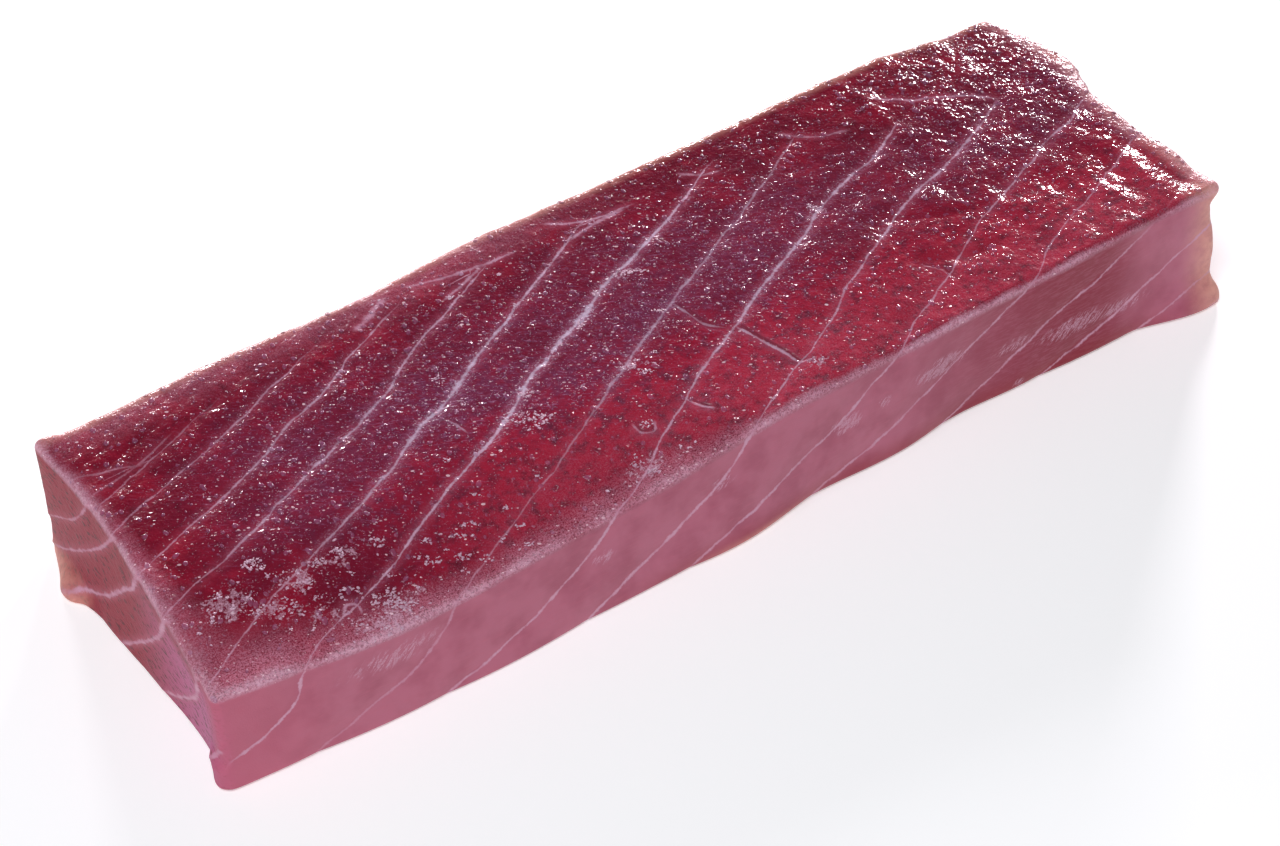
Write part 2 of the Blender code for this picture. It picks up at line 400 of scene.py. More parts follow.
    def crown(self, points: Array) -> Array:
        """How far each flake stands proud of its sheets.

        Args:
            points: Points on the loin, one per row.

        Returns:
            The height in millimetres, below 0 near a sheet.
        """
        between = self.flake_position(points) % 1.0
        fade = 1.0 - ease((points[:, 1] - self.flake_fade_from) / self.flake_fade_width)
        height = self.flake_crown_at_back + (self.flake_crown - self.flake_crown_at_back) * fade
        return height * (4.0 * between * (1.0 - between) - 0.5)

    def swell(self, points: Array) -> Array:
        """The slow, uneven swell of a surface cut by hand.

        Args:
            points: Points on the loin, one per row.

        Returns:
            The swell in millimetres.
        """
        total = np.zeros(len(points))
        for height, turn, phase in self.swell_waves:
            total += height * np.sin(points @ np.array(turn) + phase)
        return total

    def knife_waves(self, x: Array, y: Array) -> Array:
        """Long waves that the knife left across the top near the right end.

        Args:
            x: Places along the loin.
            y: Places across it.

        Returns:
            The waves' height in millimetres.
        """
        strength = ease((x - self.knife_wave_from) / self.knife_wave_ramp)
        snake = self.knife_wave_snake * np.sin(self.knife_wave_snake_turn * y)
        turn = 2 * np.pi * (x + self.knife_wave_skew * y) / self.knife_wave_pitch
        uneven = 0.55 + 0.35 * np.sin(0.11 * y + 0.19 * x) + 0.25 * np.sin(0.23 * y - 0.07 * x)
        return self.knife_wave_height * strength * uneven * np.sin(turn + snake)

    def warp_to_outline(self, block: Array) -> tuple[Array, Array]:
        """Carries the plain block's points to its plan outline, which changes from base to rim.

        Args:
            block: Points on the plain block.

        Returns:
            The points' new places along X, and along Y.
        """
        x, y, z = block.T
        up = z / self.height
        front = through(self.front_base, x) * (1 - up) + through(self.front_rim, x) * up
        back = through(self.back_base, x) * (1 - up) + through(self.back_rim, x) * up
        warped_y = front + (y / self.width + 0.5) * (back - front)
        left = through(self.left_base, warped_y) * (1 - up)
        left += through(self.left_rim, warped_y) * up
        right = through(self.right_base, warped_y) * (1 - up)
        right += through(self.right_rim, warped_y) * up
        return left + (x / self.length + 0.5) * (right - left), warped_y

    def end_forms(self, x: Array, y: Array, z: Array, near: Faces) -> Array:
        """Pushes along X: the flap and the foot on the left, ragged flakes on the right.

        Args:
            x: Places along the loin; not used.
            y: Places across it.
            z: Heights above the base.
            near: How near each point is to each face.

        Returns:
            The push in millimetres.
        """
        flap = through(self.flap_reach, y) * ease(1 - z / self.flap_thickness)
        across = np.clip(1 - np.abs(y - self.foot_centre_y) / self.foot_half_width, 0, 1)
        rise = ease(self.foot_notch_sharpness * (1 - z / self.foot_height))
        foot = self.foot_reach * ease(across) * rise
        near_front = ease(1 - (y + self.width / 2) / self.ragged_fade)
        ragged = through(self.ragged_reach, z) * near_front
        wave = np.sin(self.ragged_wave_turn[1] * z + self.ragged_wave_turn[0] * y)
        ragged += self.ragged_wave * wave * (1 - near_front)
        return near.right * ragged - near.left * (flap + foot)

    def shape(self, block: Array, near: Faces) -> Array:
        """The true place of every point of the plain block.

        Args:
            block: Points on the plain block.
            near: How near each point is to each face.

        Returns:
            The same points on the loin.
        """
        x, y = self.warp_to_outline(block)
        z = block[:, 2] / self.height * self.top_height(x, y)
        warped = np.stack([x, y, z], axis=1)
        proud = self.crown(warped) * (1.0 - 0.85 * near.left**SHARP)
        swell = self.swell(warped)
        out = proud + self.side_swell * swell
        tip = bell(np.hypot(x - self.tip_place[0], y - self.tip_place[1]), self.tip_radius)
        across = np.clip(1 - np.abs(x - self.lip_centre_x) / self.lip_half_width, 0, 1)
        lip = near.front * self.lip_reach * ease(across) * ease(1 - z / self.lip_height)
        lift = proud + self.top_swell * swell + self.knife_waves(x, y) + self.tip_rise * tip
        shaped_x = x + self.end_forms(x, y, z, near) + (near.right - near.left) * out
        shaped_y = y - lip + (near.back - near.front) * out
        return np.stack([shaped_x, shaped_y, np.maximum(z + near.top * lift, 0.0)], axis=1)


@dataclass(frozen=True)
class Stroke:
    """A line drawn on the top by the knife or by tissue, through points (x, y)."""

    points: Curve
    width: float = 0.8
    strength: float = 1.0
    height: float = 0.0
    step: float = 0.0

    def smooth_points(self, pieces: int = 6) -> Array:
        """The line's points with a rounded course between them.

        Args:
            pieces: How many steps each stretch is cut into.

        Returns:
            Points (x, y), one per row.
        """
        course = np.array(self.points, float)
        ends = np.vstack([2 * course[0] - course[1], course, 2 * course[-1] - course[-2]])
        places = []
        for before, start, end, after in zip(ends, ends[1:], ends[2:], ends[3:]):
            t = np.linspace(0, 1, pieces, endpoint=False)[:, None]
            bend = 2 * before - 5 * start + 4 * end - after
            turn = 3 * (start - end) + after - before
            places.append(start + 0.5 * t * (end - before + t * (bend + t * turn)))
        return np.vstack([*places, course[-1:]])

    def measure(self, places: Array) -> tuple[Array, Array]:
        """Signed distance from the line and the share of the way along it.

        Args:
            places: Points (x, y), one per row.

        Returns:
            The distance, positive on the line's left, and the share from 0 to 1.
        """
        course = self.smooth_points()
        best = np.full(len(places), 1e9)
        signed = np.full(len(places), 1e9)
        share = np.zeros(len(places))
        count = len(course) - 1
        for index, (start, end) in enumerate(zip(course, course[1:])):
            along = end - start
            to_point = places - start
            t = np.clip(to_point @ along / (along @ along), 0, 1)
            gap = to_point - t[:, None] * along
            distance = np.hypot(gap[:, 0], gap[:, 1])
            nearer = distance < best
            side = np.sign(along[0] * to_point[:, 1] - along[1] * to_point[:, 0])
            best = np.where(nearer, distance, best)
            signed = np.where(nearer, distance * np.where(side == 0, 1, side), signed)
            share = np.where(nearer, (index + t) / count, share)
        return signed, share


# Tissue strands where the sheets turn back near the rear edge, and the pale lips of small tears
STRANDS = (
    Stroke(((-64, 45), (-56, 42.4), (-50, 41)), 0.7, 0.5),
    Stroke(((-60, 32), (-55, 34.4), (-48, 38.8)), 1.7, 0.75),
    Stroke(((-44, 39.4), (-34, 36.6), (-25, 35.2), (-14, 34.7)), 0.9, 0.75),
    Stroke(((-38, 29.5), (-31, 32), (-24, 34.8)), 0.9, 0.8),
    Stroke(((-4.5, 39.8), (0, 36.6), (8, 33.9), (18, 32.9)), 0.8, 0.8),
    Stroke(((-3, 31), (6, 32.6), (15, 32.7)), 0.9, 0.7),
    Stroke(((32, 36.8), (37.5, 32.6), (42, 31.4)), 0.8, 0.5),
    Stroke(((61.5, 35.4), (68, 29), (77, 25.6)), 0.9, 0.5),
    Stroke(((87, 33.4), (98, 26.3), (109, 20.4), (116, 15)), 0.9, 0.7),
    Stroke(((115, 46), (120, 43.6), (126, 41.6)), 0.8, 0.5),
    Stroke(((-133, 27.4), (-126, 25), (-118, 21.6)), 0.6, 0.4),
    Stroke(((-134, 19.2), (-128, 20.4), (-119, 22.4), (-108, 27)), 0.5, 0.35),
    Stroke(((-101.5, -37.4), (-100, -36.2), (-98, -37), (-98.2, -39.4)), 0.6, 0.8),
)

# Small tears: a slit on the left of the course, darkened with painted shade, and a pale lip on it
TEARS = (
    Stroke(((5.2, -1.5), (6.2, -7), (7.1, -12), (10.7, -16.2)), 0.5, 0.5),
    Stroke(((12.4, -15.8), (13.4, -20), (14.8, -26), (16.6, -31), (17.6, -34.4), (20, -35)),
           0.55, 1.0),
    Stroke(((-10, -28.5), (-8.4, -32.6), (-6, -35.4)), 0.55, 0.8),
    Stroke(((-24, -28.6), (-23.4, -31.8), (-20.6, -32.8), (-19, -30.4)), 0.6, 0.7),
    Stroke(((-60, -2), (-57, -6), (-55.6, -12)), 0.4, 0.4),
    Stroke(((60, -24), (63, -28), (64, -33)), 0.4, 0.4),
)

# White arcs on the left end, where the sheets curl under each other, as (y, z)
END_ARCS = (
    Stroke(((16.4, 36.6), (18.5, 32.3), (21.4, 28), (26.4, 22.3), (31.4, 18.7), (37.1, 15.1),
            (44, 10.6)), 0.8, 0.6),
    Stroke(((3, 36), (5.6, 32.6), (11.4, 25.9), (18.5, 19.4), (25.6, 13.7), (30.6, 10.1),
            (37.1, 5.5), (44, 2)), 1.0, 0.8),
    Stroke(((-9.5, 35.5), (-7.2, 31.6), (-3.3, 25.5), (1.4, 21.2), (7.1, 15.5), (11.4, 11.6),
            (17.1, 7.6), (21.4, 5.1), (26.4, 2.3), (32, -0.6)), 1.4, 1.0),
    Stroke(((-24, 35), (-22.6, 33.4), (-20.8, 30.1), (-17.9, 25.1), (-15.4, 21.6), (-11.5, 17.3),
            (-7.2, 13), (-2.9, 9.1), (0.6, 5.9), (5.6, 1.9), (9.9, -0.6)), 1.4, 1.0),
    Stroke(((-38.6, 31), (-36.9, 28), (-35.1, 23), (-32.9, 19.4), (-30.1, 15.9), (-25.8, 11.6),
            (-21.5, 8), (-18.6, 5.5), (-14.4, 3), (-10.1, 0.1)), 1.4, 1.0),
    Stroke(((-43.4, 12.4), (-42.2, 10.9), (-39.4, 7.3), (-36.5, 3.7), (-32.2, 0.1)), 1.1, 0.8),
)

# Ridges and grooves that the knife left on the top, and small tears. A stroke's height is that of
# its crest, and its step is a change of level across it
CUTS = (
    Stroke(((84.6, 47), (85.6, 40), (86.6, 29), (87.8, 9), (90.4, 1.6)), 1.2, 1.0, 0.17, 0.05),
    Stroke(((97.4, 28), (100, 20), (100.6, 10), (102, 0), (101.4, -9)), 1.1, 1.0, 0.17, 0.05),
    Stroke(((93, 44), (94.6, 34), (96, 27)), 1.2, 1.0, 0.1, 0.05),
    Stroke(((112, 40), (111.4, 28), (113.6, 18)), 1.6, 1.0, 0.1, 0.05),
    Stroke(((122, 42), (124, 28), (127, 14)), 2.0, 1.0, 0.1, 0.05),
    Stroke(((123, 4), (126, 0), (128.5, -6), (131, -12)), 2.2, 1.0, 0.14, 0.0),
    Stroke(((125.6, -10), (124.6, -24), (124.8, -41)), 1.5, 1.0, 0.16, 0.0),
    Stroke(((129.8, -13), (129.4, -25), (129.4, -39)), 2.2, 1.0, -0.45, 0.0),
    Stroke(((119.6, -8), (119.8, -22), (118.4, -38)), 2.3, 1.0, -0.4, 0.0),
    Stroke(((114.6, -12), (113.4, -26), (115, -40)), 1.4, 1.0, 0.16, 0.0),
    Stroke(((105.6, -8), (104.4, -18), (106, -28)), 2.6, 1.0, -0.35, 0.0),
    Stroke(((5.2, -1.5), (6.2, -7), (7.1, -12), (10.7, -16.2)), 0.9, 1.0, -0.3, 0.3),
    Stroke(((12.4, -15.8), (13.4, -20), (14.8, -26), (16.6, -31), (17.6, -35)),
           0.9, 1.0, -0.2, 0.6),
    Stroke(((-46, -20), (-42, -17), (-36, -16)), 1.2, 1.0, -0.25, 0.1),
    Stroke(((62, -3), (69, -8.5), (77, -13), (88, -16)), 2.6, 1.0, -0.4, 0.35),
    Stroke(((57, -19), (66, -24.5), (76, -27.5), (86, -27)), 2.8, 1.0, -0.35, 0.3),
)

# Wet white patches, and frosted islands: (x, y, radius along x, radius along y, strength)
WET_PATCHES = (
    (112.0, 26.0, 30.0, 24.0, 0.55), (86.5, 22.0, 4.0, 26.0, 0.35),
    (100.5, 8.0, 4.0, 20.0, 0.4), (134.0, 5.0, 7.0, 40.0, 0.3), (60.0, 34.0, 40.0, 12.0, 0.25),
    (84.0, -22.0, 12.0, 8.0, 0.3), (-55.0, 12.0, 40.0, 20.0, 0.2), (114.0, -28.0, 5.0, 10.0, 0.15),
    (126.1, -2.5, 6.0, 3.4, 0.50), (122.3, 7.2, 6.0, 4.0, 0.50), (99.0, 1.3, 5.0, 2.6, 0.60),
    (93.0, 15.5, 7.0, 3.0, 0.60), (84.6, 35.9, 7.0, 2.4, 0.60), (111.3, -25.2, 3.0, 2.4, 0.45),
    (123.6, -32.0, 6.0, 3.0, 0.20), (128.2, -39.3, 4.0, 3.0, 0.30), (119.6, 25.4, 16.0, 9.0, 0.60),
)
FROST_PATCHES = (
    (-122.0, -26.0, 7.0, 5.0, 0.9), (-113.0, -31.0, 7.0, 5.0, 0.8), (-106.0, -27.0, 5.0, 3.0, 0.9),
    (-96.0, -27.0, 7.0, 3.5, 0.8), (-95.0, -43.0, 8.0, 4.0, 1.0), (-87.0, -40.0, 6.0, 4.0, 0.6),
    (-104.0, -36.0, 7.0, 4.0, 0.7), (-72.0, -33.0, 7.0, 3.0, 0.4), (-52.0, 37.0, 6.0, 3.0, 0.5),
    (-14.0, -13.0, 3.0, 2.5, 0.9), (-11.0, -16.0, 2.5, 2.0, 0.8), (-43.0, -14.0, 5.0, 4.0, 0.5),
    (-53.0, -3.0, 5.0, 4.0, 0.5), (2.0, 13.0, 6.0, 2.5, 0.7), (20.0, -37.0, 4.0, 3.0, 0.8),
    (52.0, 6.0, 3.0, 3.0, 0.7), (-27.0, -40.0, 9.0, 3.0, 0.8), (-3.0, -9.0, 2.0, 2.5, 0.6),
)
# Islands of thawing frost: (x, y, reach along, reach across, number of crumbs)
ISLANDS = (
    (-112.2, -19.3, 2.6, 1.7, 60), (-116.6, -25.4, 2.0, 1.0, 14), (-104.2, -20.7, 1.0, 0.6, 6),
    (-100.4, -25.3, 2.2, 1.2, 34), (-95.7, -25.3, 2.0, 1.4, 26), (-87.0, -27.0, 1.8, 1.1, 24),
    (-95.8, -30.4, 0.9, 0.7, 6), (-100.8, -27.7, 0.8, 0.5, 4), (-106.1, -27.4, 0.8, 0.5, 5),
    (-110.5, -29.2, 1.0, 0.5, 6), (-104.5, -32.4, 2.4, 0.8, 22), (-109.4, -31.8, 1.0, 0.8, 9),
    (-93.3, -37.4, 2.4, 0.8, 22), (-90.0, -38.1, 1.6, 1.2, 20), (-90.3, -41.2, 3.6, 1.5, 85),
    (-87.4, -42.7, 1.0, 0.7, 10), (-78.1, -31.4, 1.6, 0.6, 12), (-79.1, -36.1, 1.8, 1.4, 26),
    (-81.4, -33.7, 0.8, 0.5, 5), (-116.5, -29.9, 0.8, 0.6, 5), (-110.0, -23.8, 1.8, 1.2, 16),
    (-73.1, -38.2, 2.0, 1.0, 24), (-74.4, -41.2, 1.0, 0.9, 14), (-67.8, -32.5, 2.6, 0.7, 22),
    (-71.0, -33.9, 2.4, 0.5, 12), (-77.8, -31.6, 1.6, 0.7, 10), (-59.0, -32.7, 1.6, 0.5, 8),
    (-62.8, -27.4, 1.8, 0.4, 7), (-58.5, -37.5, 1.6, 0.7, 14), (-60.7, -42.0, 2.6, 1.8, 14),
    (-68.8, -40.7, 1.6, 1.0, 9), (-63.3, -38.5, 1.6, 1.2, 10), (-63.7, -16.6, 1.0, 0.7, 9),
    (-48.5, -29.5, 1.0, 0.8, 9), (-38.6, -8.0, 2.0, 1.6, 40), (-41.6, -16.4, 4.0, 3.0, 60),
    (-15.9, 4.9, 1.6, 1.2, 24), (-6.4, 11.1, 1.6, 1.2, 26), (0.7, 14.9, 2.0, 1.6, 26),
    (13.2, 21.1, 0.9, 0.8, 10), (-24.5, 18.6, 0.9, 0.8, 10), (-35.8, 29.8, 0.9, 1.0, 12),
    (1.5, -2.1, 1.6, 0.7, 14), (-15.4, -13.9, 2.0, 0.9, 26), (-12.6, -17.8, 1.8, 0.9, 16),
    (-21.0, -30.2, 1.6, 1.3, 24), (-7.7, -13.2, 0.9, 0.6, 8), (-52.0, 7.3, 1.6, 1.4, 20),
    (-22.4, 29.6, 0.8, 0.6, 6), (-23.3, 1.7, 1.2, 0.6, 8),
)
FROST_RING = (-98.0, -34.7, 2.1, 1.5, 34)

SIDE_FROST_PATCHES = (
    (23.0, 18.0, 4.0, 2.5, 0.8), (51.0, 20.0, 7.0, 2.5, 0.9), (73.0, 15.0, 5.0, 1.8, 0.7),
    (92.0, 12.0, 10.0, 2.6, 0.75), (106.0, 11.0, 8.0, 2.2, 0.6), (-96.0, 19.0, 12.0, 3.0, 0.5),
    (-12.0, 21.0, 3.0, 2.0, 0.6), (-44.0, 17.0, 3.0, 2.0, 0.5), (34.0, 19.0, 2.0, 1.5, 0.6),
    (75.5, 1.8, 1.5, 1.3, 1.0),
)


@dataclass(frozen=True)
class FleshFields:
    """Smooth fields over the skin that its finish reads, as three numbers for each point."""

    sheets: Array
    strands: Array
    zones: Array
    marks: Array
    faces: Array
    cuts: Array
    edges: Array

    NAMES = ("sheets", "strands", "zones", "marks", "faces", "cuts", "edges")

    def picked(self, chosen: Array) -> FleshFields:
        """The same fields at some of the points only."""
        return FleshFields(*(getattr(self, name)[chosen] for name in self.NAMES))

    def store(self, mesh: bpy.types.Mesh) -> None:
        """Writes the fields on a mesh's points.

        Args:
            mesh: The mesh, whose points the fields belong to.
        """
        for name in self.NAMES:
            attribute = mesh.attributes.new(name, "FLOAT_VECTOR", "POINT")
            attribute.data.foreach_set("vector", getattr(self, name).astype(np.float32).ravel())


def patches(x: Array, y: Array, places: Sequence[tuple[float, ...]]) -> Array:
    """The strongest of several soft oval patches at each point.

    Args:
        x: Places along the first axis.
        y: Places along the second axis.
        places: Each patch's centre, reach along both axes and strength.

    Returns:
        A strength from 0 to 1 for each point.
    """
    total = np.zeros(len(x))
    for centre_x, centre_y, reach_x, reach_y, strength in places:
        distance = np.hypot((x - centre_x) / reach_x, (y - centre_y) / reach_y)
        total = np.maximum(total, strength * np.exp(-(distance**2)))
    return total


@dataclass
class ZonePoints:
    """The skin's points with everything that the colour zones read there, in millimetres."""

    form: LoinForm
    block: Array
    places: Array
    near: Faces
    side_from: float = 2.2
    side_depth: float = 1.9

    def __post_init__(self) -> None:
        """Measures the points from the rims of the top, and reads the noises."""
        form = self.form
        self.x, self.y, self.z = self.places.T
        self.off_front = self.y - through(form.front_rim, self.x)
        self.off_left = self.x - through(form.left_rim, self.y)
        self.off_back = through(form.back_rim, self.x) - self.y
        self.off_right = through(form.right_rim, self.y) - self.x
        self.slow = Lumps(21).at(self.places, (26.0, 14.0, 14.0))
        self.mottle = Lumps(22).at(self.places, 7.0)
        self.fine = Lumps(23).at(self.places, 2.4)
        self.depth = form.height - self.block[:, 2]
        self.side = 1.0 - ramp(self.depth, self.side_from, self.side_from - self.side_depth)


@dataclass(frozen=True)
class ColourZones:
    """Where the flesh is side-coloured, purple, pale, orange, frosted, wet or rimmed, and where the
    painted glints lie.
    """

    rim_band: Curve = (
        (-136, 18), (-118, 16), (-100, 12), (-80, 9), (-60, 9), (-40, 11), (-28, 13), (-14, 10),
        (0, 5), (20, 2.8), (60, 1.8), (137, 2.2),
    )
    left_band: Curve = ((-45, 22), (-32, 16), (-18, 9), (0, 6), (20, 4.4), (45, 3))
    right_band: float = 8.0
    # The width and strength of the paler strip along the back edge, which is painted sheen
    rear_band: float = 14.0
    rear_strength: float = 0.62
    rosy_strength: float = 0.2
    corner_reach: tuple[float, float] = (-136, -102)
    corner_strength: float = 0.95
    back_fringe: float = 4.4
    right_fringe: float = 6.0
    front_fringe: tuple[float, float] = (123, 136)
    flap_fringe_height: float = 7.0
    base_fringe_height: float = 3.0
    base_fringe_width: float = 14.0
    belt_width: float = 25.0
    belt_middle: float = 1.0
    belt_slope: float = 0.04
    rim_from: float = 2.4
    rim_depth: float = 1.6
    rim_width: float = 2.2
    rim_narrowing: float = 1.1
    left_rim_width: float = 2.0
    left_rim_growth: float = 1.8
    right_rim_width: float = 5.0

    def pale(self, at: ZonePoints) -> Array:
        """Pale flesh: along the rims, in the front part and at the left corner; the paler strip
        along the back edge is painted sheen.

        Args:
            at: The skin's points.

        Returns:
            A share for each point.
        """
        left = ease(1 - at.off_left / through(self.left_band, at.y))
        right = ramp(at.off_right, self.right_band, 0)
        rosy = self.rosy_strength * ramp(at.y, -12, -38) * ramp(at.x, -90, -40)
        # Painted sheen: a paler strip along the back edge, on the left half
        rear = self.rear_strength * ramp(at.off_back, self.rear_band, 0) * ramp(at.x, 30, -30)
        edges = np.maximum(np.maximum(0.8 * left, 0.85 * right), rear)
        band = self.band(at)
        pale = np.maximum(np.maximum(band, edges) * (1 + 0.35 * at.mottle), rosy)
        corner_start, corner_end = self.corner_reach
        corner = self.corner_strength * ramp(at.x, corner_end, corner_start) * at.near.front
        return np.clip(np.where(at.side > 0.5, corner, pale), 0, 1)

    def band(self, at: ZonePoints) -> Array:
        """The frosted band along the front rim."""
        return ease(1 - at.off_front / through(self.rim_band, at.x))

    def orange(self, at: ZonePoints) -> Array:
        """Orange flesh: the back edge, the right end, the flap and low in front; along the thin
        edges the orange is partly painted light shining through them.

        Args:
            at: The skin's points.

        Returns:
            A share for each point.
        """
        near = at.near
        back = ramp(at.off_back, self.back_fringe, 0)
        right = ramp(at.off_right, self.right_fringe, 0)
        orange = (0.75 * back + 0.6 * right) * near.top * (1 - 0.75 * at.side)
        orange = np.maximum(orange, near.front * ramp(at.x, *self.front_fringe))
        flap = near.left * ramp(at.y, 18, 26) * ramp(at.z, self.flap_fringe_height, 0)
        orange = np.maximum(orange, flap)
        low = near.front * ramp(at.z, self.base_fringe_height, 0)
        low = low * bell(at.x + 4, self.base_fringe_width)
        return np.clip(np.maximum(orange, 0.6 * low) + 0.06 * near.back * at.side, 0, 1)

    def rim(self, at: ZonePoints) -> Array:
        """The pale, uneven rim round the top.

        Args:
            at: The skin's points.

        Returns:
            A share for each point.
        """
        uneven = np.clip(0.75 + 0.45 * at.slow + 0.35 * at.mottle, 0.25, 1.0)
        front = self.rim_width - self.rim_narrowing * ramp(at.x, 0, 50)
        rim = ease(1.1 - at.off_front / (front + 0.35 * front * (at.mottle + at.fine)))
        left = self.left_rim_width + self.left_rim_growth * ramp(at.y, -12, -34)
        left = left + 0.9 * at.mottle + 0.7 * at.fine
        rim = np.maximum(rim, 0.9 * ease(1.1 - at.off_left / left))
        right = self.right_rim_width + 2.0 * at.mottle
        rim = np.maximum(rim, 0.5 * ease(1.0 - at.off_right / right))
        return rim * ramp(at.depth, self.rim_from, self.rim_from - self.rim_depth) * uneven

    def ruddy(self, at: ZonePoints) -> Array:
        """Redder flesh on the sides; on the back face the darker red is painted shade.

        Args:
            at: The skin's points.

        Returns:
            A share for each point.
        """
        x, near, side = at.x, at.near, at.side
        ruddy = near.front * side * ramp(x, 30, 90) * (1 - ramp(x, 98, 118))
        # Painted shade: the back face is given a darker red
        ruddy = np.maximum(ruddy, np.maximum(0.75 * near.back, 0.6 * near.right) * side)
        end_red = np.maximum(ramp(at.y, -32, 2), 0.8 * ramp(at.z, 22, 30))
        return np.maximum(ruddy, near.left**SHARP * side * end_red)

    def fields(self, at: ZonePoints) -> tuple[Array, ...]:
        """The zones, as the finish reads them.

        Args:
            at: The skin's points.

        Returns:
            Four fields of three numbers each: zones, marks, faces and edges.
        """
        x, y, z, near, side = at.x, at.y, at.z, at.near, at.side
        band = self.band(at)
        off_belt = y - self.belt_middle - self.belt_slope * x
        # The purple belt: the flesh's own purple tone, with painted sheen in it
        purple = bell(off_belt, self.belt_width) * ramp(x, -128, -83) * (1 - 0.5 * ramp(x, 15, 75))
        purple = np.clip(purple * (0.85 + 0.4 * at.slow + 0.25 * at.mottle), 0, 1)
        frost = patches(x, y, FROST_PATCHES) * (1 - side)
        frost = np.maximum(frost, patches(x, z, SIDE_FROST_PATCHES) * near.front * side)
        wet = (0.35 + patches(x, y, WET_PATCHES)) * (1 - side) * (1 - 0.8 * band)
        dark = near.front * ramp(z, 7, 0) * ramp(x, -60, 0) * (1 - 0.8 * ramp(x, 108, 128))
        vivid = 0.75 * ramp(y, -4, -28) * ramp(x, -100, -50) * (1 - band)
        rim = self.rim(at)
        # Painted glints: how thickly the small white specks lie, most in the purple belt, the front
        # band, the frost and along the rim
        frost_and_glint_specks = (0.2 + 0.34 * purple + 0.2 * band + 0.2 * frost) * (1 - side)
        frost_and_glint_specks = frost_and_glint_specks * (1 - 0.55 * ramp(x, 10, 70)) + 0.4 * rim
        deep = np.where(side > 0.5, dark, vivid)
        zones = (side, purple, self.pale(at))
        marks = (self.orange(at), frost, np.clip(wet, 0, 1))
        faces = (near.left**SHARP * side, deep, self.ruddy(at))
        edges = (rim, np.clip(frost_and_glint_specks, 0, 1), band * near.top)
        return tuple(np.stack(parts, axis=1) for parts in (zones, marks, faces, edges))


